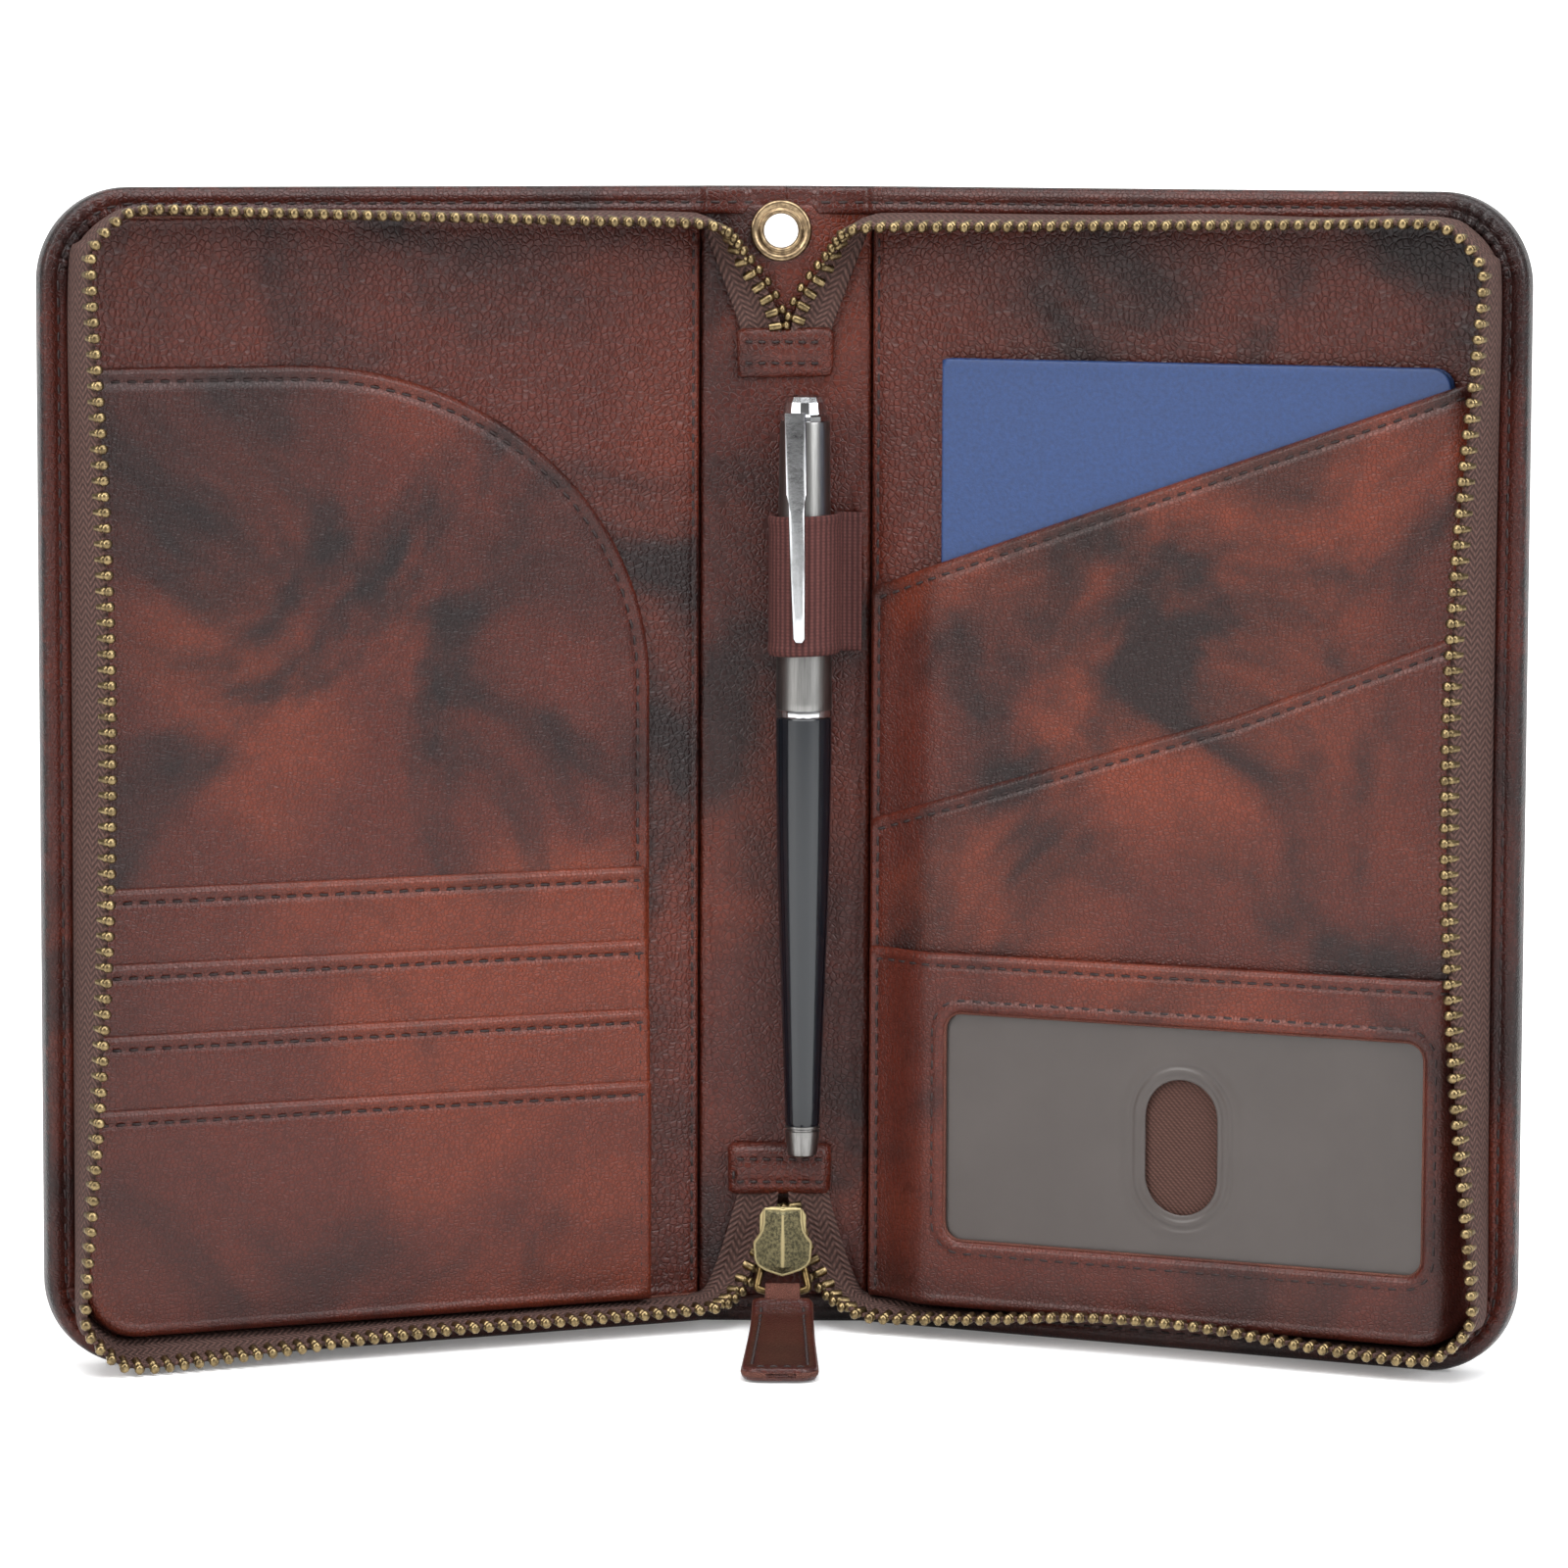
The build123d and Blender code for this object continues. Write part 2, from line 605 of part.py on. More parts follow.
# Teeth of the zip ends lie on the inner edges of the arms, clear of the tab
TOP_TOOTH_RUN = ((1.0, 167.9), (2.6, 172), (5.6, 176.3), (8.3, 180.3))
BOTTOM_TOOTH_RUN = ((0.9, 20.6), (2.5, 14), (4.8, 9), (7.4, 4.4))
END_TOOTH_WIDTH = 1.6
END_TOOTH_THICKNESS = 1.0
for end, run, base in (
    ("top", TOP_TOOTH_RUN, TOP_ARM_BASE + TAPE),
    ("bottom", BOTTOM_TOOTH_RUN, BOTTOM_ARM_BASE + TAPE),
):
    end_places = []
    for sign in (-1, 1):
        with BuildLine(spine_plane.offset(base)) as run_line:
            Polyline(*[(sign * x, z) for x, z in run])
        run_wire = run_line.wire()
        for index in range(int(run_wire.length / TOOTH_PITCH)):
            share = (index + (0.25 if sign < 0 else 0.75)) * TOOTH_PITCH / run_wire.length
            along = run_wire % share
            outward = Vector(sign, 0, 0)
            place = run_wire @ share + outward * END_TOOTH_WIDTH * 0.5
            end_places.append(Plane(origin=place, x_dir=along, z_dir=spine_plane.z_dir))
    with BuildPart() as end_teeth:
        with Locations(*end_places):
            Box(
                TOOTH_LENGTH,
                END_TOOTH_WIDTH,
                END_TOOTH_THICKNESS,
                align=(Align.CENTER, Align.CENTER, Align.MIN),
            )
    end_teeth.part.label = f"{end}_end_teeth"
    export_step(end_teeth.part, f"parts/{end}_end_teeth.step")

# Pen loop: elastic ring round the pen, its tail sewn down beside it
LOOP_OUTER = LOOP_INNER + LOOP_WALL
LOOP_TAIL_FAR = 12.2
LOOP_HEIGHT = LOOP_HIGH - LOOP_LOW
with BuildPart() as pen_loop:
    with BuildSketch(Plane.XY.offset(LOOP_LOW)):
        with Locations((PEN_X, BACK_Y - PEN_DEPTH)):
            Circle(LOOP_OUTER)
        with BuildLine():
            Polyline(
                (PEN_X, BACK_Y - SPINE_THICKNESS),
                (LOOP_TAIL_FAR, BACK_Y - SPINE_THICKNESS),
                (LOOP_TAIL_FAR, BACK_Y - SPINE_THICKNESS - LOOP_WALL),
                (PEN_X, BACK_Y - SPINE_THICKNESS - LOOP_WALL),
                close=True,
            )
        make_face()
        with Locations((PEN_X, BACK_Y - PEN_DEPTH)):
            Circle(LOOP_INNER, mode=Mode.SUBTRACT)
    extrude(amount=LOOP_HEIGHT)
pen_loop.part.label = "pen_loop"
export_step(pen_loop.part, "parts/pen_loop.step")

# Pen ---------------------------------------------------------------------------------------

CAP_TOP_RADIUS = 4.1
CAP_MOUTH_RADIUS = 4.6
CAP_WALL = 0.6
CAP_BAND_TOP = 104.0
CAP_JEWEL_LOW = 151.4
CAP_LID = 3.0
JEWEL_RING_HEIGHT = 1.2
JEWEL_SHOULDER_RADIUS = 3.5
JEWEL_SHOULDER_HEIGHT = 1.6
JEWEL_TOP_RADIUS = 3.0
BARREL_WAIST = (3.9, 62)
BARREL_SHOULDER = (4.5, 85)
SECTION_LOW = CAP_MOUTH - 0.1
SECTION_RADIUS = 3.3
SECTION_TOP_RADIUS = 2.9
SECTION_TOP = 121.0
NIB_BASE = (2.3, SECTION_TOP)
NIB_SHOULDER = (1.9, 132)
NIB_POINT = (0.4, 142)
TAIL_JOINT_RADIUS = 2.9
TAIL_END_RADIUS = 2.4
TAIL_SHOULDER = (2.7, 32.3)
CLIP_LOW = 115.1
CLIP_HIGH = 153.3
CLIP_INNER = 6.2
CLIP_THICKNESS = 0.8
CLIP_WIDTH = 3.4
CLIP_X = PEN_X - 1.2
pen_plane = Plane(origin=(PEN_X, BACK_Y - PEN_DEPTH, 0), x_dir=(1, 0, 0), z_dir=(0, -1, 0))


def turned(points):
    """Solid of revolution about the pen's axis from a profile of (radius, height)."""
    with BuildSketch(pen_plane) as profile:
        Polygon(*points, align=None)
    revolve(profile.sketch, axis=Axis(pen_plane.origin, (0, 0, 1)))


# Barrel with the grip section that hides in the cap
with BuildPart() as pen_barrel:
    turned(
        [
            (0, PEN_TAIL_TOP),
            (TAIL_JOINT_RADIUS, PEN_TAIL_TOP),
            BARREL_WAIST,
            BARREL_SHOULDER,
            (BARREL_RADIUS, SECTION_LOW),
            (SECTION_RADIUS, SECTION_LOW),
            (SECTION_TOP_RADIUS, SECTION_TOP),
            (0, SECTION_TOP),
        ]
    )
pen_barrel.part.label = "pen_barrel"
export_step(pen_barrel.part, "parts/pen_barrel.step")

with BuildPart() as pen_tail:
    turned(
        [
            (0, PEN_TAIL),
            (TAIL_END_RADIUS, PEN_TAIL),
            TAIL_SHOULDER,
            (TAIL_JOINT_RADIUS, PEN_TAIL_TOP),
            (0, PEN_TAIL_TOP),
        ]
    )
pen_tail.part.label = "pen_tail"
export_step(pen_tail.part, "parts/pen_tail.step")

with BuildPart() as pen_nib:
    turned([(0, SECTION_TOP), NIB_BASE, NIB_SHOULDER, NIB_POINT, (0, NIB_POINT[1])])
pen_nib.part.label = "pen_nib"
export_step(pen_nib.part, "parts/pen_nib.step")

with BuildPart() as pen_cap:
    turned(
        [
            (CAP_MOUTH_RADIUS - CAP_WALL, CAP_BAND_TOP),
            (CAP_MOUTH_RADIUS, CAP_BAND_TOP),
            (CAP_TOP_RADIUS, CAP_JEWEL_LOW),
            (0, CAP_JEWEL_LOW),
            (0, CAP_JEWEL_LOW - CAP_LID),
            (CAP_TOP_RADIUS - CAP_WALL, CAP_JEWEL_LOW - CAP_LID),
        ]
    )
pen_cap.part.label = "pen_cap"
export_step(pen_cap.part, "parts/pen_cap.step")

with BuildPart() as pen_cap_band:
    turned(
        [
            (CAP_MOUTH_RADIUS - CAP_WALL, CAP_MOUTH),
            (BARREL_RADIUS, CAP_MOUTH),
            (BARREL_RADIUS, CAP_BAND_TOP),
            (CAP_MOUTH_RADIUS - CAP_WALL, CAP_BAND_TOP),
        ]
    )
pen_cap_band.part.label = "pen_cap_band"
export_step(pen_cap_band.part, "parts/pen_cap_band.step")

with BuildPart() as pen_cap_jewel:
    turned(
        [
            (0, CAP_JEWEL_LOW),
            (CAP_TOP_RADIUS, CAP_JEWEL_LOW),
            (CAP_TOP_RADIUS, CAP_JEWEL_LOW + JEWEL_RING_HEIGHT),
            (JEWEL_SHOULDER_RADIUS, CAP_JEWEL_LOW + JEWEL_SHOULDER_HEIGHT),
            (JEWEL_TOP_RADIUS, CAP_TOP),
            (0, CAP_TOP),
        ]
    )
pen_cap_jewel.part.label = "pen_cap_jewel"
export_step(pen_cap_jewel.part, "parts/pen_cap_jewel.step")

# Clip: its foot grips the cap's top ring and its blade passes in front of the loop
with BuildPart() as pen_clip:
    with BuildSketch(pen_plane.offset(CLIP_INNER)):
        with Locations((CLIP_X - PEN_X, CLIP_LOW)):
            Rectangle(CLIP_WIDTH, CLIP_HIGH - CLIP_LOW, align=(Align.CENTER, Align.MIN))
    extrude(amount=CLIP_THICKNESS)
    with BuildSketch(pen_plane.offset(CAP_TOP_RADIUS - 0.2)):
        with Locations((CLIP_X - PEN_X, CLIP_HIGH)):
            Rectangle(CLIP_WIDTH, CLIP_HIGH - CAP_JEWEL_LOW, align=(Align.CENTER, Align.MAX))
    extrude(amount=CLIP_INNER - CAP_TOP_RADIUS + 0.2)
    with BuildSketch(Plane.XY.offset(CAP_JEWEL_LOW - 1)):
        with Locations((PEN_X, BACK_Y - PEN_DEPTH)):
            Circle(CAP_TOP_RADIUS + 0.02)
    extrude(amount=CLIP_HIGH - CAP_JEWEL_LOW + 2, mode=Mode.SUBTRACT)
pen_clip.part.label = "pen_clip"
export_step(pen_clip.part, "parts/pen_clip.step")

# Slider ------------------------------------------------------------------------------------

SLIDER_LOW = 9.2
SLIDER_HIGH = 20.0
SLIDER_HALF = 3.9
SLIDER_PLATE = 0.6
SLIDER_BACK = SPINE_THICKNESS + 0.15
SLIDER_FRONT = 6.25
BRIDGE_HALF = 1.2
BRIDGE_POST = 0.9
BRIDGE_FRONT = 9.65
SHIELD_FRONT = 10.35
SHIELD = ((-3.25, 20.4), (3.25, 20.4), (3.6, 17.4), (5, 14.4), (4.7, 11.2), (3.2, 9.9), (0, 8.8),
          (-3.2, 9.9), (-4.7, 11.2), (-5, 14.4), (-3.6, 17.4))

# Two plates joined by the wedge that parts the teeth
with BuildPart() as slider_body:
    for plate_depth in (SLIDER_BACK, SLIDER_FRONT):
        with BuildSketch(spine_plane.offset(plate_depth)):
            with Locations((0, (SLIDER_LOW + SLIDER_HIGH) / 2)):
                RectangleRounded(2 * SLIDER_HALF, SLIDER_HIGH - SLIDER_LOW, 1.5)
        extrude(amount=SLIDER_PLATE)
    with BuildSketch(spine_plane.offset(SLIDER_BACK)):
        Polygon((0, 12.6), (-1.1, 10.6), (-0.7, SLIDER_LOW + 0.2), (0.7, SLIDER_LOW + 0.2),
                (1.1, 10.6), align=None)
    extrude(amount=SLIDER_FRONT - SLIDER_BACK)
    # Two posts that carry the bridge
    with BuildSketch(spine_plane.offset(SLIDER_FRONT + SLIDER_PLATE)):
        for post_z in (LINK_PIVOT_Z - 1.9, LINK_PIVOT_Z + 1.9):
            with Locations((0, post_z)):
                Rectangle(2 * BRIDGE_HALF, BRIDGE_POST)
    extrude(amount=BRIDGE_FRONT - SLIDER_FRONT - SLIDER_PLATE)
slider_body.part.label = "slider_body"
export_step(slider_body.part, "parts/slider_body.step")

# Shield-shaped cap over the bridge, faceted about its middle ridge
with BuildPart() as slider_cap:
    with BuildSketch(spine_plane.offset(BRIDGE_FRONT)):
        Polygon(*SHIELD, align=None)
    extrude(amount=SHIELD_FRONT - BRIDGE_FRONT, taper=20)
slider_cap.part.label = "slider_cap"
export_step(slider_cap.part, "parts/slider_cap.step")

# Pull: wire link hung in the bridge, and the leather tab on the link's lower bar -------------

LINK_HALF_TOP = 3.0
LINK_HALF = 4.5
LINK_BEND = 1.2
link_reach = hypot(LINK_END_DEPTH - LINK_PIVOT_DEPTH, LINK_PIVOT_Z - LINK_END_Z)
link_along = Vector(
    0, -(LINK_END_DEPTH - LINK_PIVOT_DEPTH) / link_reach, (LINK_END_Z - LINK_PIVOT_Z) / link_reach
)
link_pivot = Vector(0, BACK_Y - LINK_PIVOT_DEPTH, LINK_PIVOT_Z)
link_plane = Plane(origin=link_pivot, x_dir=(1, 0, 0), z_dir=Vector(1, 0, 0).cross(link_along))
with BuildPart() as pull_link:
    with BuildLine(link_plane) as link_path:
        FilletPolyline(
            (-LINK_HALF_TOP, 0),
            (LINK_HALF_TOP, 0),
            (LINK_HALF, link_reach),
            (-LINK_HALF, link_reach),
            close=True,
            radius=LINK_BEND,
        )
    link_wire = link_path.wire()
    with BuildSketch(Plane(origin=link_wire @ 0, z_dir=link_wire % 0)):
        Circle(LINK_WIRE)
    sweep(path=link_wire)
pull_link.part.label = "pull_link"
export_step(pull_link.part, "parts/pull_link.step")

# The pull bends down from the link to the floor and lies along it
PULL_EYE = 1.5
PULL_EYE_BORE = LINK_WIRE + 0.08
PULL_ROUTE = (
    (LINK_END_DEPTH, LINK_END_Z),
    (13.9, 3.7),
    (19.0, 2.1),
    (PULL_TIP_DEPTH, PULL_TIP_Z),
)
PULL_NECK_HALF = 2.8
PULL_NECK_DEPTH = 14.0
PULL_SHOULDER = (15.0, 5.0)
PULL_WIDEST = (54.5, 6.2)
PULL_TIP_HALF = 4.0


def strip_section(route, thickness):
    """Outline of a strip of even thickness that follows a route of (depth, z)."""
    upper = []
    lower = []
    for index, (depth, z) in enumerate(route):
        before = route[max(index - 1, 0)]
        after = route[min(index + 1, len(route) - 1)]
        run = hypot(after[0] - before[0], after[1] - before[1])
        across_depth = -(after[1] - before[1]) / run * thickness / 2
        across_z = (after[0] - before[0]) / run * thickness / 2
        upper.append((BACK_Y - depth - across_depth, z + across_z))
        lower.append((BACK_Y - depth + across_depth, z - across_z))
    return upper + lower[::-1]


pull_root = Vector(0, BACK_Y - LINK_END_DEPTH, LINK_END_Z)
pull_plan = [
    (PULL_NECK_HALF, LINK_END_DEPTH - PULL_EYE),
    (PULL_NECK_HALF, PULL_NECK_DEPTH),
    PULL_SHOULDER[::-1],
    PULL_WIDEST[::-1],
    (PULL_TIP_HALF, PULL_TIP_DEPTH + 1),
]
with BuildPart() as pull_tab:
    with BuildSketch(Plane.YZ):
        Polygon(*strip_section(PULL_ROUTE, PULL_THICKNESS), align=None)
    extrude(amount=PULL_WIDEST[1], both=True)
    with BuildSketch(Plane(origin=pull_root, z_dir=(1, 0, 0))):
        Circle(PULL_EYE)
    extrude(amount=PULL_NECK_HALF, both=True)
    with BuildSketch(Plane.XY):
        plan_right = [(half, BACK_Y - depth) for half, depth in pull_plan]
        plan_left = [(-half, y) for half, y in reversed(plan_right)]
        Polygon(*plan_right, *plan_left, align=None)
    extrude(amount=HEIGHT, mode=Mode.INTERSECT)
    with BuildSketch(Plane(origin=pull_root, z_dir=(1, 0, 0))):
        Circle(PULL_EYE_BORE)
    extrude(amount=PULL_NECK_HALF, both=True, mode=Mode.SUBTRACT)
pull_tab.part.label = "pull_tab"
export_step(pull_tab.part, "parts/pull_tab.step")
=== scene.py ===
import json
import math

import bmesh
import bpy
import numpy as np
from mathutils import Matrix, Vector, geometry, noise

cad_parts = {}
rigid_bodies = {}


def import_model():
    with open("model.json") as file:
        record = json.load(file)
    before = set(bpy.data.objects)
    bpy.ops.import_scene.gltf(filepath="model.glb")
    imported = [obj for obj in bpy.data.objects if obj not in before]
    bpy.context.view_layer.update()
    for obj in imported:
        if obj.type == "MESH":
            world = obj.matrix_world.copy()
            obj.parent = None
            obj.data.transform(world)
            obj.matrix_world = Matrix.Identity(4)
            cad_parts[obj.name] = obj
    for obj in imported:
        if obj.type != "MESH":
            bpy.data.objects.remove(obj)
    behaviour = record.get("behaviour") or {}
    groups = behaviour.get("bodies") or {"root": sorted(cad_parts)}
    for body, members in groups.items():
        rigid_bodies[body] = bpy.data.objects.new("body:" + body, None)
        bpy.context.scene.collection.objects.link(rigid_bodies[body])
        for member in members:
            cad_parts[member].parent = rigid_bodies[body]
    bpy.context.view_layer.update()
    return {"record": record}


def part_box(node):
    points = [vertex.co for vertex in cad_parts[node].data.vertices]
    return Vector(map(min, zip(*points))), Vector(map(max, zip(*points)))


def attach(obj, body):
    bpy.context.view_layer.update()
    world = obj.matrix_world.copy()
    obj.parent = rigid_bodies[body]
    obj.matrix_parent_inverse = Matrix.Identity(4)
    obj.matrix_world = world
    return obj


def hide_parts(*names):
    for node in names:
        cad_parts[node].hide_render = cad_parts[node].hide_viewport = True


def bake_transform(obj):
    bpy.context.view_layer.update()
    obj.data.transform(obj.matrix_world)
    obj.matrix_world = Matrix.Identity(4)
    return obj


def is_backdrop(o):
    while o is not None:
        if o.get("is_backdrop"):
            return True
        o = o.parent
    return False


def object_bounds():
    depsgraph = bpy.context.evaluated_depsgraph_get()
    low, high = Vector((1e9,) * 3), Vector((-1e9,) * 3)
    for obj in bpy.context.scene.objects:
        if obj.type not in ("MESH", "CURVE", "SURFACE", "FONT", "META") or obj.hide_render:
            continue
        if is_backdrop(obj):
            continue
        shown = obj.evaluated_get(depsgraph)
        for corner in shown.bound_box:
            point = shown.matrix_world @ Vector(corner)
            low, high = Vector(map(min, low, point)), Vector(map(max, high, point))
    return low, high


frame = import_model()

# Travel document organizer: the leather, zip, thread and metal that stand for the CAD solids.
# Lengths are millimetres until a mesh is made. Most pieces are laid out flat, in unfolded
# coordinates: s runs from the middle of the spine outwards along the leather (left is
# negative), v runs up and w from the back of the outer leather towards the inside.

MM = 0.001

# Places from the frame
joints = {joint["name"]: joint for joint in frame["record"]["behaviour"]["joints"]}
fold_x, fold_y, _ = (value / MM for value in joints["right_cover_fold"]["pos_m"])
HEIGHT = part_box("left_outer_leather")[1][2] / MM
SPINE_HALF = fold_x

# Driving sizes
OPEN_ANGLE = math.radians(24)
COVER_WIDTH = 114.0
FOLD_DEPTH = 1.5
BEND = 3.0
CORNER_RADIUS = 15.0
BACK_Y = fold_y + FOLD_DEPTH
EDGE = SPINE_HALF + COVER_WIDTH
STITCH_PITCH = 2.75
STITCH_LENGTH = 1.75

rng = np.random.RandomState(7)


# ---------------------------------------------------------------- geometry helpers

def ease(value):
    value = np.clip(value, 0.0, 1.0)
    return value * value * (3 - 2 * value)


def place(s, v, w):
    """Unfolded millimetres to the row frame in metres, bending smoothly at the two folds."""
    s, v, w = np.broadcast_arrays(np.asarray(s, float), np.asarray(v, float), np.asarray(w, float))
    side = np.where(s < 0, -1.0, 1.0)
    u = np.abs(s) - SPINE_HALF
    angle = OPEN_ANGLE * ease((u + BEND) / (2 * BEND))
    rise = w - FOLD_DEPTH
    x = side * (SPINE_HALF + u * np.cos(angle) - rise * np.sin(angle))
    y = fold_y - u * np.sin(angle) - rise * np.cos(angle)
    return np.stack([x, y, v], -1) * MM


def wave(points, size, seed=0.0):
    """Smooth noise, about -1 to 1, with features of the given size."""
    return np.array([noise.noise(Vector((p[0] / size, p[1] / size, seed))) for p in points])


def new_object(name, points, faces, uvs=None, wear=None, smooth=True):
    mesh = bpy.data.meshes.new(name)
    mesh.from_pydata(np.asarray(points, float).tolist(), [], [tuple(map(int, f)) for f in faces])
    mesh.update()
    if smooth:
        mesh.polygons.foreach_set("use_smooth", np.ones(len(mesh.polygons), bool))
    if uvs is not None:
        layer = mesh.uv_layers.new(name="lay")
        index = np.empty(len(mesh.loops), np.int32)
        mesh.loops.foreach_get("vertex_index", index)
        layer.data.foreach_set("uv", np.asarray(uvs, np.float32)[index].ravel())
    attribute = mesh.attributes.new("wear", "FLOAT", "POINT")
    values = np.zeros(len(points)) if wear is None else np.asarray(wear)
    attribute.data.foreach_set("value", values.astype(np.float32))
    tidy_mesh(mesh)
    obj = bpy.data.objects.new(name, mesh)
    bpy.context.scene.collection.objects.link(obj)
    return obj


def running_length(path):
    """Distance along a polyline at each of its points."""
    return np.concatenate([[0], np.cumsum(np.linalg.norm(np.diff(path, axis=0), axis=1))])


def resample(path, step, closed=False):
    """Points evenly spaced along a polyline of any dimension."""
    path = np.asarray(path, float)
    if closed:
        path = np.vstack([path, path[:1]])
    along = running_length(path)
    count = max(2, int(round(along[-1] / step)) + 1)
    wanted = np.linspace(0, along[-1], count)
    out = np.stack([np.interp(wanted, along, path[:, k]) for k in range(path.shape[1])], -1)
    return out[:-1] if closed else out


def curve_through(points, per_span=8):
    """Catmull-Rom curve through the given points."""
    p = np.asarray(points, float)
    p = np.vstack([2 * p[0] - p[1], p, 2 * p[-1] - p[-2]])
    out = []
    for i in range(1, len(p) - 2):
        for t in np.linspace(0, 1, per_span, endpoint=False):
            a = 2 * p[i]
            b = (p[i + 1] - p[i - 1]) * t
            c = (2 * p[i - 1] - 5 * p[i] + 4 * p[i + 1] - p[i + 2]) * t * t
            d = (3 * p[i] - p[i - 1] - 3 * p[i + 1] + p[i + 2]) * t ** 3
            out.append(0.5 * (a + b + c + d))
    out.append(p[-2])
    return np.array(out)


def arc(cx, cy, radius, start, end, count=10):
    angles = np.radians(np.linspace(start, end, count))
    return [(cx + radius * math.cos(a), cy + radius * math.sin(a)) for a in angles]


def to_path(points, path):
    """Distance from each point to a polyline."""
    points = np.asarray(points, float)[:, None, :]
    a = np.asarray(path, float)[None, :-1, :]
    b = np.asarray(path, float)[None, 1:, :]
    ab = b - a
    t = np.clip(((points - a) * ab).sum(-1) / np.maximum((ab * ab).sum(-1), 1e-12), 0, 1)
    return np.linalg.norm(points - (a + ab * t[..., None]), axis=-1).min(1)


def inside(points, polygon):
    points = np.asarray(points, float)
    result = np.zeros(len(points), bool)
    a = np.asarray(polygon, float)
    b = np.roll(a, -1, axis=0)
    for (x1, y1), (x2, y2) in zip(a, b):
        if y1 == y2:
            continue
        crosses = (points[:, 1] < y1) != (points[:, 1] < y2)
        at = x1 + (points[:, 1] - y1) * (x2 - x1) / (y2 - y1)
        result ^= crosses & (points[:, 0] < at)
    return result


def counterclockwise(outline):
    outline = np.asarray(outline, float)
    nxt = np.roll(outline, -1, axis=0)
    area = (outline[:, 0] * nxt[:, 1] - nxt[:, 0] * outline[:, 1]).sum()
    return outline if area > 0 else outline[::-1]


def inward(path, closed):
    """Unit normals to the left of a path in the s, v plane."""
    path = np.asarray(path, float)
    if closed:
        tangent = np.roll(path, -1, axis=0) - np.roll(path, 1, axis=0)
    else:
        tangent = np.gradient(path, axis=0)
    tangent /= np.maximum(np.linalg.norm(tangent, axis=1, keepdims=True), 1e-9)
    return np.stack([-tangent[:, 1], tangent[:, 0]], -1)


EDGE_RINGS = (0.12, 0.3, 0.6, 1.0, 1.5, 1.95, 2.3, 2.65, 3.2, 4.0)


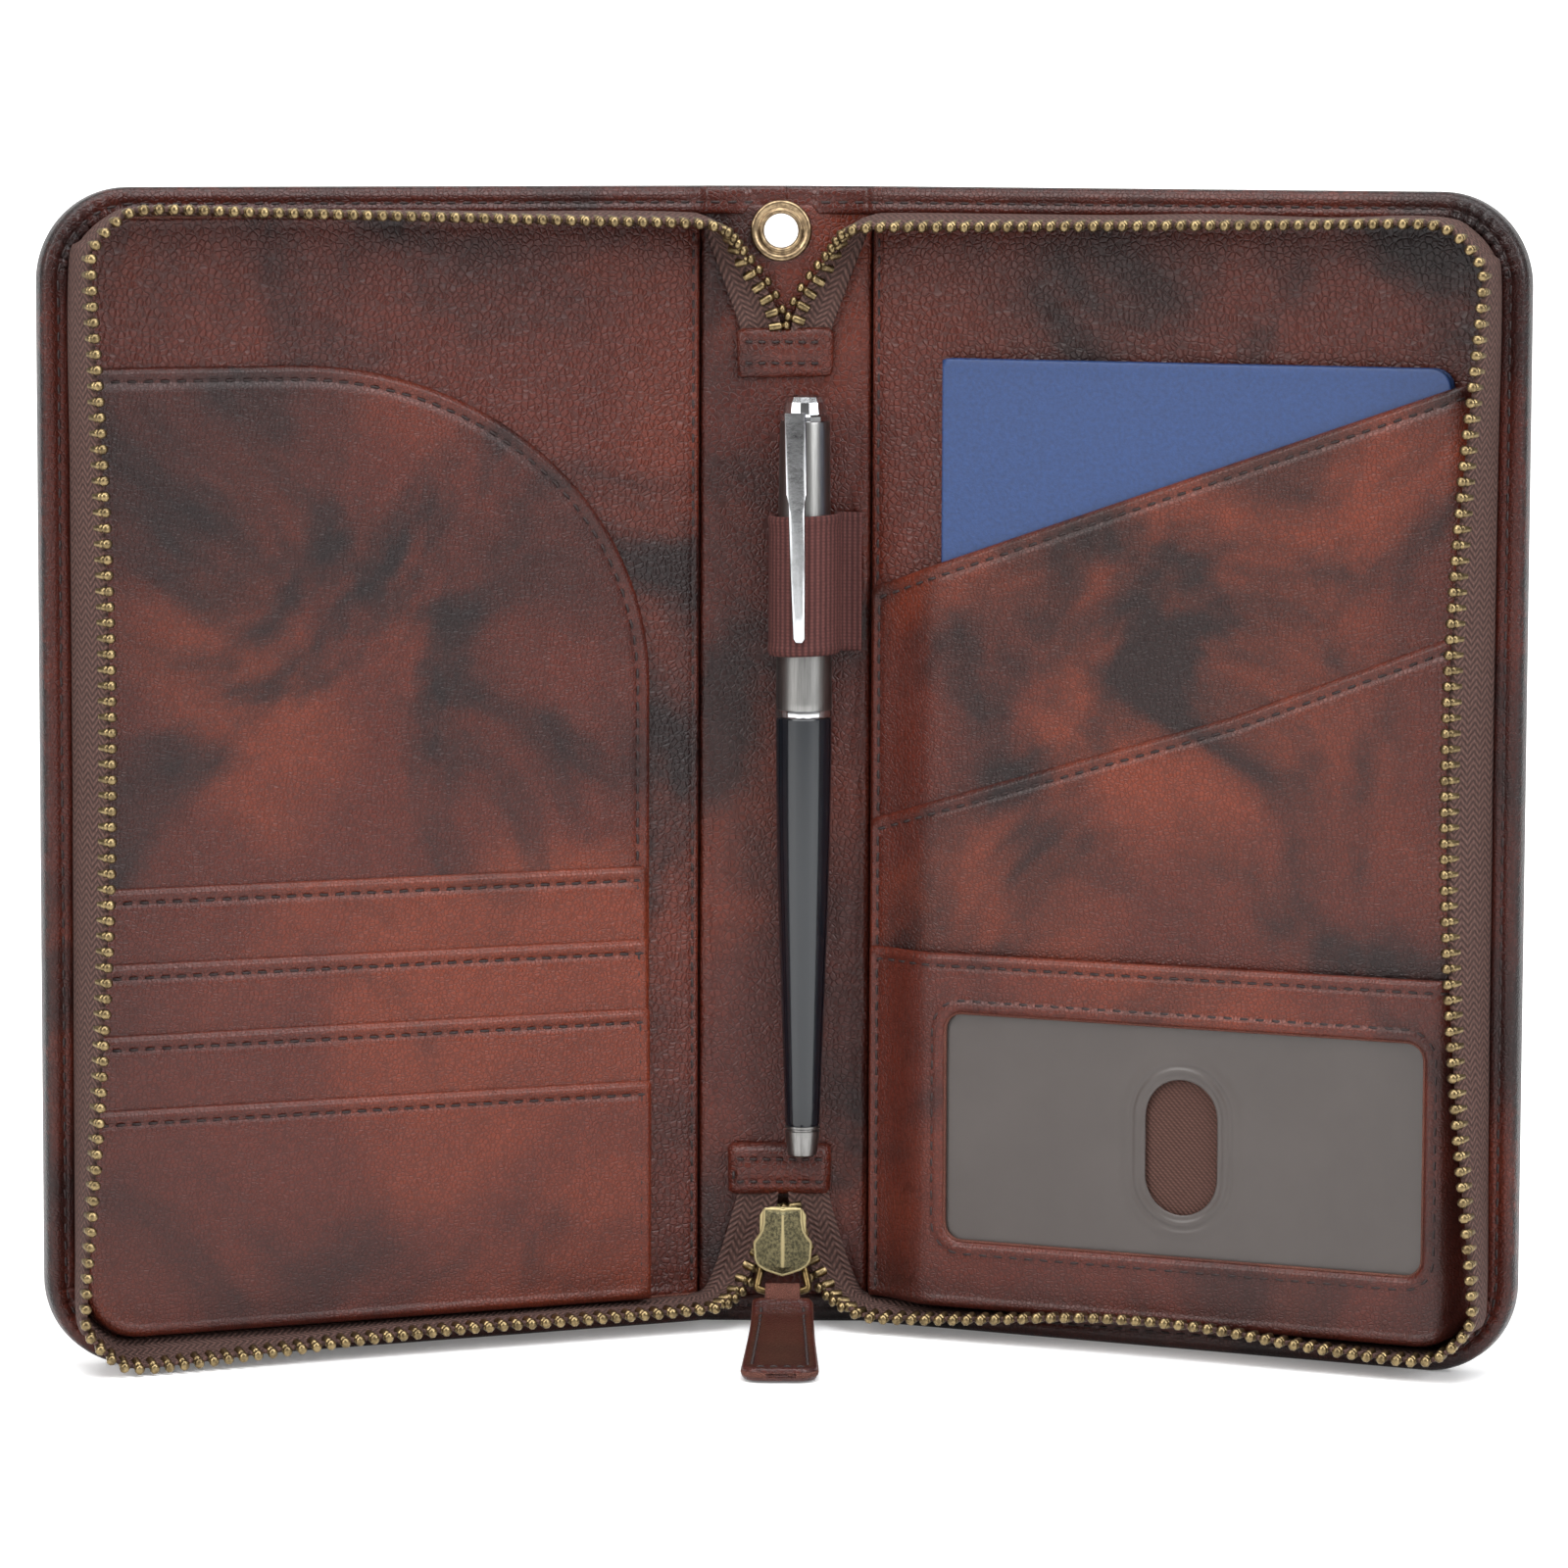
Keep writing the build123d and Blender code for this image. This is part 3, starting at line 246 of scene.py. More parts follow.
def panel(name, outline, base, thickness, holes=(), seams=(), spacing=1.8, bead=0.25,
          swell=0.12, groove=0.28, roll=0.9, seed=1.0, facing=1, extra=None, laid=place):
    """One flat-laid piece of leather, closed underneath: rolled edges, a soft bead along
    them, a groove under each seam and slow waves across it."""
    outline = resample(counterclockwise(outline), 1.2, closed=True)
    loops = [outline] + [resample(counterclockwise(h), 1.0, closed=True)[::-1] for h in holes]
    border = [np.vstack([loop, loop[:1]]) for loop in loops]

    def from_edge(points):
        return np.min([to_path(points, b) for b in border], axis=0)

    rings = []
    for loop in loops:
        normal = inward(loop, True)
        for distance in EDGE_RINGS:
            ring = loop + normal * distance
            keep = np.abs(from_edge(ring) - distance) < 0.04 + 0.03 * distance
            rings.append(ring[keep & inside(ring, outline)])
    low, high = outline.min(0), outline.max(0)
    columns = np.arange(low[0], high[0], spacing)
    rows = np.arange(low[1], high[1], spacing * 0.87)
    grid = np.array([(x + (j % 2) * spacing / 2, y) for j, y in enumerate(rows) for x in columns])
    grid = grid + rng.uniform(-0.12, 0.12, grid.shape) * spacing
    grid = grid[inside(grid, outline)]
    for hole in loops[1:]:
        grid = grid[~inside(grid, hole)]
    grid = grid[from_edge(grid) > EDGE_RINGS[-1] + 0.5]
    points = np.vstack(loops + rings + [grid])

    constraints = []
    offset = 0
    for loop in loops:
        n = len(loop)
        constraints += [(offset + i, offset + (i + 1) % n) for i in range(n)]
        offset += n
    rim_count = offset
    flat, _, faces, source, _, _ = geometry.delaunay_2d_cdt(
        [Vector(p) for p in points], constraints, [], 1, 1e-5
    )
    flat = np.array([tuple(p) for p in flat])
    faces = np.array([f for f in faces if len(f) == 3])
    middle = flat[faces].mean(1)
    keep = inside(middle, outline)
    for hole in loops[1:]:
        keep &= ~inside(middle, hole)
    faces = faces[keep]
    lookup = {}
    for new, olds in enumerate(source):
        for old in olds:
            lookup[old] = new

    edge_distance = from_edge(flat)
    rounded = np.sqrt(1 - (1 - np.clip(edge_distance / roll, 0, 1)) ** 2)
    lift = thickness * (0.3 + 0.7 * rounded)
    lift += bead * np.exp(-(((edge_distance - 1.15) / 0.75) ** 2))
    for seam in seams:
        lift -= groove * np.exp(-((to_path(flat, seam) / 0.55) ** 2))
    calm = ease(edge_distance / 6)
    lift += swell * wave(flat, 26, seed) * calm
    lift += swell * 0.35 * wave(flat, 8, seed + 9) * (0.3 + 0.7 * calm)
    if extra is not None:
        lift += extra(flat[:, 0], flat[:, 1]) * ease(edge_distance / 1.5)
    level = base if callable(base) else (lambda s, v: np.full(len(s), float(base)))
    foot = level(flat[:, 0], flat[:, 1])
    top = laid(flat[:, 0], flat[:, 1], foot + facing * lift)
    wear = np.exp(-edge_distance / 0.55)

    # A piece across a fold has an underside as fine as its face, so that both bend alike.
    # Elsewhere the underside uses the outline alone.
    if laid is place and np.abs(outline[:, 0]).min() < SPINE_HALF + BEND + 1:
        return bent_panel(name, flat, faces, loops, lookup, top, laid, foot, wear)
    count = len(flat)
    walls = []
    rim_ids = [lookup[i] for i in range(rim_count)]
    offset = 0
    for loop in loops:
        n = len(loop)
        for i in range(n):
            a = offset + i
            b = offset + (i + 1) % n
            walls.append((rim_ids[a], count + a, count + b, rim_ids[b]))
        offset += n
    rim_flat = flat[rim_ids]
    bottom = laid(rim_flat[:, 0], rim_flat[:, 1], level(rim_flat[:, 0], rim_flat[:, 1]))
    under, _, under_faces, under_source, _, _ = geometry.delaunay_2d_cdt(
        [Vector(p) for p in rim_flat], constraints, [], 1, 1e-5
    )
    back = {}
    for new, olds in enumerate(under_source):
        back[new] = olds[0]
    under_points = np.array([tuple(p) for p in under])
    closing = []
    for f in under_faces:
        centre = under_points[list(f)].mean(0)[None]
        if inside(centre, outline)[0] and not any(inside(centre, h)[0] for h in loops[1:]):
            closing.append(tuple(count + back[i] for i in reversed(f)))
    all_points = np.vstack([top, bottom])
    uvs = np.vstack([flat, rim_flat])
    all_wear = np.concatenate([wear, np.full(len(rim_flat), 1.0)])
    all_faces = [tuple(f) for f in faces] + walls + closing
    return new_object(name, all_points, all_faces, uvs, all_wear)


def bent_panel(name, flat, faces, loops, lookup, top, laid, foot, wear):
    count = len(flat)
    bottom = laid(flat[:, 0], flat[:, 1], foot)
    walls = []
    offset = 0
    for loop in loops:
        n = len(loop)
        for i in range(n):
            a, b = lookup[offset + i], lookup[offset + (i + 1) % n]
            walls.append((a, count + a, count + b, b))
        offset += n
    under = [tuple(count + i for i in reversed(f)) for f in faces]
    return new_object(name, np.vstack([top, bottom]), [tuple(f) for f in faces] + walls + under,
                      np.vstack([flat, flat]), np.concatenate([wear, wear]))


def sweep(name, path, profile, closed_path=False, height=None, narrow=None, pleat=None,
          closed_profile=True, laid=place):
    """A profile of (inward distance, w) carried along a path in the s, v plane."""
    path = np.asarray(path, float)
    normal = inward(path, closed_path)
    profile = np.asarray(profile, float)
    n, m = len(path), len(profile)
    reach = np.ones(n) if narrow is None else narrow(path)
    distance = profile[None, :, 0] * reach[:, None]
    s = path[:, None, 0] + normal[:, None, 0] * distance
    v = path[:, None, 1] + normal[:, None, 1] * distance
    w = np.repeat(profile[None, :, 1], n, 0)
    if height is not None:
        w = w * height(path)[:, None]
    if pleat is not None:
        w = w + pleat(path)[:, None] * np.interp(profile[:, 0], (0.5, 3.4), (0, 1))[None] * (
            profile[:, 1] > 2
        )
    points = laid(s.ravel(), v.ravel(), w.ravel())
    along, across = running_length(path), running_length(profile)
    uvs = np.stack([np.repeat(along, m), np.tile(across, n)], -1)
    wear = np.tile(np.exp(-np.maximum(profile[:, 0], 0) / 0.5), n)
    faces = []
    spans = n if closed_path else n - 1
    turns = m if closed_profile else m - 1
    for i in range(spans):
        for j in range(turns):
            a, b = i * m + j, i * m + (j + 1) % m
            c, d = ((i + 1) % n) * m + (j + 1) % m, ((i + 1) % n) * m + j
            faces.append((a, d, c, b))
    if not closed_path and closed_profile:
        faces.append(tuple(range(m)))
        faces.append(tuple((n - 1) * m + j for j in reversed(range(m))))
    return new_object(name, points, faces, uvs, wear)


def merge(parts):
    """Several (points, faces) into one."""
    points, faces, offset = [], [], 0
    for p, f in parts:
        points.append(p)
        faces += [tuple(i + offset for i in face) for face in f]
        offset += len(p)
    return np.vstack(points), faces


def two_sided(n, m):
    """Faces of an n by m grid of points and its twin beneath, closed round the border."""
    faces = []
    for i in range(n - 1):
        for j in range(m - 1):
            a, b, c, d = i * m + j, i * m + j + 1, (i + 1) * m + j + 1, (i + 1) * m + j
            faces.append((a, b, c, d))
            faces.append((n * m + d, n * m + c, n * m + b, n * m + a))
    border = [i * m for i in range(n)] + [(n - 1) * m + j for j in range(1, m)]
    border += [i * m + m - 1 for i in range(n - 2, -1, -1)] + [j for j in range(m - 2, 0, -1)]
    for k, a in enumerate(border):
        b = border[(k + 1) % len(border)]
        faces.append((a, b, b + n * m, a + n * m))
    return faces


def rings_to_mesh(rings):
    """Closed skin over a list of equal rings of points, capped at both ends."""
    m = len(rings[0])
    points = np.vstack(rings)
    faces = []
    for i in range(len(rings) - 1):
        for j in range(m):
            a, b = i * m + j, i * m + (j + 1) % m
            faces.append((a, b, b + m, a + m))
    faces.append(tuple(reversed(range(m))))
    faces.append(tuple(range(len(points) - m, len(points))))
    return points, faces


def stitches(name, paths, length=STITCH_LENGTH, pitch=STITCH_PITCH, radius=0.19, laid=place):
    """Thread stitches along paths of (s, v, w), each a short thread that dips at both ends."""
    parts = []
    ring = np.radians(np.arange(0, 360, 60))
    for path in paths:
        dense = resample(path, 0.35)
        world = laid(dense[:, 0], dense[:, 1], dense[:, 2])
        lifted = laid(dense[:, 0], dense[:, 1], dense[:, 2] + 1.0)
        along = running_length(world) / MM
        start = 0.4
        while start + length < along[-1]:
            t = start + np.array([0, 0.12, 0.5, 0.88, 1.0]) * length
            sink = np.array([-0.42, 0.0, 0.1, 0.0, -0.42])
            thick = np.array([0.6, 0.95, 1.0, 0.95, 0.6])
            centre = np.stack([np.interp(t, along, world[:, k]) for k in range(3)], -1)
            high = np.stack([np.interp(t, along, lifted[:, k]) for k in range(3)], -1)
            up = (high - centre) / np.linalg.norm(high - centre, axis=1, keepdims=True)
            go = centre[-1] - centre[0]
            go /= np.linalg.norm(go)
            skew = rng.uniform(-0.10, 0.10)
            rings = []
            for k in range(5):
                out = np.cross(go, up[k])
                at = centre[k] + up[k] * sink[k] * MM + out * skew * (k - 2) * 0.5 * MM
                r = radius * thick[k] * MM
                rings.append(
                    at + np.cos(ring)[:, None] * out * r * 1.15 + np.sin(ring)[:, None] * up[k] * r
                )
            parts.append(rings_to_mesh(rings))
            start += pitch * rng.uniform(0.97, 1.03)
    points, faces = merge(parts)
    obj = new_object(name, points, faces)
    obj.data.materials.append(thread)
    return obj


def lathe(name, profile, centre, axis_y=False, count=48):
    """Solid of revolution: profile of (radius, height) about z, or about y towards the viewer."""
    angles = np.radians(np.arange(0, 360, 360 / count))
    points = []
    for radius, height in profile:
        for a in angles:
            c, s = radius * math.cos(a), radius * math.sin(a)
            local = (c, -height, s) if axis_y else (c, s, height)
            points.append(np.add(centre, local))
    m = count
    n = len(profile)
    faces = []
    for i in range(n):
        for j in range(m):
            a, b = i * m + j, i * m + (j + 1) % m
            c, d = ((i + 1) % n) * m + (j + 1) % m, ((i + 1) % n) * m + j
            faces.append((a, b, c, d))
    return new_object(name, np.array(points) * MM, faces)


def tidy_mesh(mesh):
    """Merges doubled points and turns the normals outward."""
    data = bmesh.new()
    data.from_mesh(mesh)
    bmesh.ops.remove_doubles(data, verts=data.verts, dist=1e-6)
    bmesh.ops.recalc_face_normals(data, faces=data.faces)
    data.to_mesh(mesh)
    data.free()


def sharpen(obj, degrees=35):
    """Keeps crisp edges crisp on a smooth-shaded metal piece."""
    obj.data.set_sharp_from_angle(angle=math.radians(degrees))


# ---------------------------------------------------------------- materials

def nodes_for(name):
    material = bpy.data.materials.new(name)
    material.use_nodes = True
    tree = material.node_tree
    shader = tree.nodes["Principled BSDF"]
    return material, tree, shader


def add(tree, kind, inputs=None, **settings):
    node = tree.nodes.new(kind)
    for key, value in settings.items():
        setattr(node, key, value)
    for key, value in (inputs or {}).items():
        if isinstance(value, bpy.types.NodeSocket):
            tree.links.new(value, node.inputs[key])
        else:
            node.inputs[key].default_value = value
    return node


def ramp(tree, source, low, high):
    """0 to 1 as source goes from low to high."""
    node = add(tree, "ShaderNodeMapRange", {"Value": source, "From Min": low, "From Max": high},
               interpolation_type="SMOOTHSTEP")
    return node.outputs["Result"]


def math_node(tree, operation, a, b=0.0):
    return add(tree, "ShaderNodeMath", {0: a, 1: b}, operation=operation).outputs[0]


def scaled(tree, value, factor, offset):
    """value * factor + offset"""
    return math_node(tree, "ADD", math_node(tree, "MULTIPLY", value, factor), offset)


def wear_of(tree):
    """How worn the surface is, from each mesh's own attribute."""
    return add(tree, "ShaderNodeAttribute", attribute_name="wear").outputs["Fac"]


def mix(tree, share, first, second, blend="MIX"):
    node = add(tree, "ShaderNodeMix", data_type="RGBA", blend_type=blend)
    for key, value in ((0, share), (6, first), (7, second)):
        if isinstance(value, bpy.types.NodeSocket):
            tree.links.new(value, node.inputs[key])
        else:
            node.inputs[key].default_value = value if key == 0 else (*value, 1)
    return node.outputs[2]


def coords(tree, kind="Object"):
    return add(tree, "ShaderNodeTexCoord").outputs[kind]


def noise_tex(tree, where, scale, detail=3.0, rough=0.55, distortion=0.0):
    node = add(tree, "ShaderNodeTexNoise", {"Vector": where, "Scale": scale, "Detail": detail,
                                            "Roughness": rough, "Distortion": distortion})
    return node.outputs["Fac"]


def leather(name, base, dark, light, pebble=1.25, depth=0.35, gloss=0.30, dark_share=0.5,
            light_share=0.6, worn=(0.13, 0.024, 0.012), worn_amount=0.30, offset=0.0, coat=0.2):
    """Brush-off leather: patches of three tones, darker creases, pebbled grain, worn edges."""
    material, tree, shader = nodes_for(name)
    here = add(tree, "ShaderNodeMapping", {"Vector": coords(tree),
                                           "Location": (offset, offset * 0.7, -offset)}).outputs[0]
    patches = noise_tex(tree, here, 22, 4, 0.55, 0.7)
    zones = noise_tex(tree, here, 15, 3, 0.5, 0.4)
    cells = add(tree, "ShaderNodeTexVoronoi", {"Vector": here, "Scale": 1 / (pebble * MM),
                                               "Randomness": 1.0}, feature="DISTANCE_TO_EDGE")
    warp = noise_tex(tree, here, 420, 3, 0.6, 0.8)
    fine = noise_tex(tree, here, 2600, 3, 0.65)
    crease = ramp(tree, cells.outputs["Distance"], 0.0, 0.22)
    colour = mix(tree, math_node(tree, "MULTIPLY", ramp(tree, zones, 0.46, 0.66), light_share),
                 base, light)
    colour = mix(tree, math_node(tree, "MULTIPLY", ramp(tree, patches, 0.44, 0.66), dark_share),
                 colour, dark)
    shade = scaled(tree, crease, 0.35, 0.65)
    tone = math_node(tree, "MULTIPLY", shade, scaled(tree, warp, 0.5, 0.75))
    tint = add(tree, "ShaderNodeCombineColor", {0: tone, 1: tone, 2: tone}).outputs[0]
    colour = mix(tree, 1.0, colour, tint, "MULTIPLY")
    scuff = math_node(tree, "MULTIPLY", wear_of(tree),
                      math_node(tree, "MULTIPLY", ramp(tree, warp, 0.3, 0.6), worn_amount))
    colour = mix(tree, scuff, colour, worn)
    tree.links.new(colour, shader.inputs["Base Color"])
    height = math_node(tree, "ADD", math_node(tree, "MULTIPLY", crease, 0.62),
                       math_node(tree, "MULTIPLY", fine, 0.38))
    height = math_node(tree, "ADD", height, math_node(tree, "MULTIPLY", warp, 0.8))
    bump = add(tree, "ShaderNodeBump", {"Height": height, "Strength": 1.0, "Distance": depth * MM})
    tree.links.new(bump.outputs[0], shader.inputs["Normal"])
    rough = scaled(tree, patches, 0.22, gloss - 0.06)
    rough = math_node(tree, "ADD", rough, math_node(tree, "MULTIPLY", crease, -0.06))
    tree.links.new(rough, shader.inputs["Roughness"])
    shader.inputs["Specular IOR Level"].default_value = 0.27
    shader.inputs["Coat Weight"].default_value = coat * 0.6
    shader.inputs["Coat Roughness"].default_value = 0.22
    return material


def cloth_material(name, dark, light, rows, columns, skew=0.0, depth=0.25, rough=0.85, zigzag=0.0):
    """Woven stuff laid out by the piece's own u, v in millimetres."""
    material, tree, shader = nodes_for(name)
    split = add(tree, "ShaderNodeSeparateXYZ", {0: coords(tree, "UV")})
    u, v = split.outputs[0], split.outputs[1]
    across = math_node(tree, "PINGPONG", v, zigzag) if zigzag else v
    run = math_node(tree, "ADD", u, math_node(tree, "MULTIPLY", across, skew))
    rib = math_node(tree, "SINE", math_node(tree, "MULTIPLY", run, 2 * math.pi / rows))
    weft = math_node(tree, "SINE", math_node(tree, "MULTIPLY", v, 2 * math.pi / columns))
    rib01 = scaled(tree, rib, 0.5, 0.5)
    weft01 = scaled(tree, weft, 0.5, 0.5)
    weave = math_node(tree, "MULTIPLY", rib01, scaled(tree, weft01, 0.5, 0.5))
    fuzz = noise_tex(tree, coords(tree), 1800, 3, 0.7)
    body = math_node(tree, "ADD", math_node(tree, "MULTIPLY", weave, 0.75),
                     math_node(tree, "MULTIPLY", fuzz, 0.45))
    tree.links.new(mix(tree, body, dark, light), shader.inputs["Base Color"])
    bump = add(tree, "ShaderNodeBump", {"Height": body, "Strength": 1.0, "Distance": depth * MM})
    tree.links.new(bump.outputs[0], shader.inputs["Normal"])
    shader.inputs["Roughness"].default_value = rough
    shader.inputs["Specular IOR Level"].default_value = 0.25
    return material


def metal(name, bright, tarnish, rough, tarnish_share=0.6, scale=900, brushed=False, worn=None):
    material, tree, shader = nodes_for(name)
    where = coords(tree)
    if brushed:
        where = add(tree, "ShaderNodeMapping", {"Vector": where,
                                                "Scale": (1.0, 1.0, 0.04)}).outputs[0]
    spots = noise_tex(tree, where, scale, 4, 0.65)
    share = math_node(tree, "MULTIPLY", ramp(tree, spots, 0.35, 0.65), tarnish_share)
    colour = mix(tree, share, bright, tarnish)
    if worn:
        colour = mix(tree, wear_of(tree), colour, worn)
    tree.links.new(colour, shader.inputs["Base Color"])
    shader.inputs["Metallic"].default_value = 1.0
    tree.links.new(scaled(tree, spots, 0.22, rough - 0.08), shader.inputs["Roughness"])
    bump = add(tree, "ShaderNodeBump", {"Height": spots, "Strength": 0.35,
                                        "Distance": 0.03 * MM})
    tree.links.new(bump.outputs[0], shader.inputs["Normal"])
    return material


def plain(name, colour, rough, speck=0.15, scale=700, bump=0.02, coat=0.0, metallic=0.0):
    """A hard surface with a slight, even unevenness of colour and gloss."""
    material, tree, shader = nodes_for(name)
    spots = noise_tex(tree, coords(tree), scale, 4, 0.6)
    darker = tuple(c * (1 - speck) for c in colour)
    tree.links.new(mix(tree, spots, darker, colour), shader.inputs["Base Color"])
    node = add(tree, "ShaderNodeBump", {"Height": spots, "Strength": 0.6, "Distance": bump * MM})
    tree.links.new(node.outputs[0], shader.inputs["Normal"])
    shader.inputs["Roughness"].default_value = rough
    shader.inputs["Coat Weight"].default_value = coat
    shader.inputs["Metallic"].default_value = metallic
    return material


RED_BROWN = (0.070, 0.0115, 0.006)
NEAR_BLACK = (0.0065, 0.0028, 0.003)
ORANGE = (0.140, 0.024, 0.009)

outer_leather = leather("outer_leather_finish", (0.055, 0.010, 0.006), NEAR_BLACK,
                        (0.10, 0.018, 0.008), pebble=0.9, depth=0.10, gloss=0.38, coat=0.08)
rim_leather = leather("rim_leather_finish", (0.060, 0.0105, 0.006), NEAR_BLACK,
                      (0.125, 0.021, 0.009), pebble=0.8, depth=0.09, gloss=0.36, dark_share=0.9,
                      worn=(0.006, 0.003, 0.003), worn_amount=1.2, offset=0.31)
lining_leather = leather("lining_leather_finish", RED_BROWN, NEAR_BLACK, (0.105, 0.018, 0.008),
                         pebble=1.0, depth=0.15, gloss=0.33, dark_share=0.95, offset=0.05)
pocket_leather = leather("pocket_leather_finish", RED_BROWN, NEAR_BLACK, ORANGE, pebble=0.7,
                         depth=0.08, gloss=0.36, dark_share=0.95, light_share=0.95, offset=0.17)
slot_leather = leather("card_slot_leather_finish", (0.074, 0.0125, 0.0065), NEAR_BLACK, ORANGE,
                       pebble=0.7, depth=0.08, gloss=0.37, dark_share=0.65, light_share=0.9,
                       offset=0.42)
spine_leather = leather("spine_leather_finish", (0.058, 0.010, 0.006), NEAR_BLACK,
                        (0.13, 0.022, 0.009), pebble=0.9, depth=0.13, gloss=0.34,
                        dark_share=0.85, offset=0.73)
pull_leather = leather("pull_leather_finish", (0.036, 0.007, 0.006), (0.010, 0.0035, 0.0035),
                       (0.06, 0.012, 0.009), pebble=0.7, depth=0.08, gloss=0.34, offset=0.9)
raw_leather = leather("raw_edge_finish", (0.12, 0.04, 0.027), (0.05, 0.016, 0.012),
                      (0.19, 0.075, 0.05), pebble=0.35, depth=0.15, gloss=0.75, coat=0.0,
                      worn_amount=0.0)
thread = plain("thread_finish", (0.020, 0.007, 0.006), 0.7, 0.5, 3000, 0.05)
tape_weave = cloth_material("zip_tape_finish", (0.010, 0.005, 0.004), (0.125, 0.066, 0.055),
                            1.15, 0.8, skew=1.0, depth=0.3, zigzag=1.45)
elastic_weave = cloth_material("elastic_finish", (0.018, 0.005, 0.005), (0.105, 0.036, 0.031),
                               0.95, 0.55, depth=0.12)
twill = cloth_material("twill_finish", (0.022, 0.009, 0.007), (0.095, 0.045, 0.034), 0.9, 0.45,
                       skew=1.0, depth=0.1)
tooth_brass = metal("zip_teeth_finish", (0.27, 0.20, 0.10), (0.075, 0.052, 0.028), 0.32, 0.8, 900)
slider_brass = metal("slider_finish", (0.19, 0.165, 0.09), (0.060, 0.055, 0.034), 0.42, 1.0, 2200,
                     worn=(0.46, 0.38, 0.20))
link_brass = metal("link_finish", (0.19, 0.13, 0.055), (0.07, 0.046, 0.02), 0.32, 0.7, 900)
eyelet_brass = metal("eyelet_finish", (0.36, 0.26, 0.15), (0.07, 0.045, 0.03), 0.3, 0.75, 900)
steel = metal("brushed_steel_finish", (0.27, 0.265, 0.255), (0.15, 0.147, 0.142), 0.30, 0.6, 2600,
              brushed=True)
chrome = metal("chrome_finish", (0.58, 0.59, 0.60), (0.44, 0.45, 0.46), 0.10, 0.3, 500)
lacquer = plain("pen_lacquer_finish", (0.003, 0.005, 0.008), 0.16, 0.3, 300, 0.001, coat=0.25)
passport_blue = plain("passport_cover_finish", (0.012, 0.046, 0.165), 0.5, 0.65, 1500, 0.12)
paper = plain("passport_pages_finish", (0.74, 0.70, 0.60), 0.8, 0.3, 2500, 0.05)
board_grey = plain("board_finish", (0.30, 0.25, 0.2), 0.9, 0.3, 900, 0.1)

# ---------------------------------------------------------------- how the pieces are carried

SIDES = (("left", -1), ("right", 1))


def finish_piece(obj, material, body, nodes=()):
    """Gives a piece its material and its body, and hides the CAD nodes that it stands for. A piece
    of a turn stays unparented, its transform baked in.
    """
    if not obj.data.materials:
        obj.data.materials.append(material)
    if body in ("left_turn", "right_turn"):
        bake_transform(obj)
    else:
        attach(obj, body)
    if nodes:
        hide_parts(*nodes)
    return obj


def mirrored(points, sign):
    """The same route on the other cover, turned so that inward stays to its left."""
    points = np.array(points, float)
    if sign < 0:
        points[:, 0] *= -1
        points = points[::-1]
    return points


def half_outline(inset, radius, start=0.0):
    """Edge of a right-hand half from the spine's foot round the free edge to its head."""
    far, low, high = EDGE - inset, inset, HEIGHT - inset
    points = [(start, low), (far - radius, low)]
    points += arc(far - radius, low + radius, radius, -90, 0, 24)[1:]
    points += [(far, high - radius)]
    points += arc(far - radius, high - radius, radius, 0, 90, 24)[1:]
    points += [(start, high)]
    return np.array(points)


# ---------------------------------------------------------------- covers and spine

EYELET_X = -0.9
EYELET_Z = 182.6
EYELET_HOLE = 3.3
SHELL_PROFILE = (
    (3.9, 0.35), (3.3, 0.05), (1.5, 0.0), (0.5, 0.3), (0.05, 1.0), (0.0, 3.2), (0.25, 4.0),
    (0.8, 4.4), (1.6, 4.5), (2.3, 4.38), (2.7, 4.2), (3.1, 4.38), (3.8, 4.42), (4.4, 4.25),
    (4.62, 3.9), (4.7, 3.2), (4.2, 2.9), (4.2, 1.2),
)
RAW_PROFILE = ((4.5, 3.4), (4.5, 4.1), (4.62, 4.22), (4.85, 4.18), (5.0, 4.0), (5.02, 3.4))
SPINE_SHARE = 0.80
BACK_OVERLAP = 0.6
BACK_STEP = 0.03


def near_eyelet(path):
    """1 over the eyelet and 0 away from it."""
    return (path[:, 1] > HEIGHT / 2) * (1 - ease((np.abs(path[:, 0] - EYELET_X) - 4.5) / 2))


def edge_height(path):
    """The rim is thinner over the spine, and flat under the eyelet."""
    reach = np.abs(path[:, 0])
    share = SPINE_SHARE + (1 - SPINE_SHARE) * ease((reach - 12.8) / 2.4)
    return share - 0.16 * near_eyelet(path) + 0.012 * wave(path, 7, 3.0)


def edge_reach(path):
    """The rim reaches less far in under the eyelet."""
    return 1 - 0.2 * near_eyelet(path)


def corner_pleats(path):
    """Sharp creases across the rim where the leather is gathered round a corner."""
    normal = inward(path, False)
    turn = np.degrees(np.arctan2(normal[:, 1], normal[:, 0])) % 90
    centres = np.cumsum(rng.uniform(7.0, 12.5, 12))
    depth = np.zeros(len(path))
    for centre in centres[centres < 84]:
        depth -= rng.uniform(0.35, 0.75) * np.exp(-(((turn - centre) / 1.5) ** 2))
        depth += 0.22 * np.exp(-(((turn - centre - 3.2) / 2.2) ** 2))
    return np.where((turn > 1.5) & (turn < 88.5), depth, 0.0)


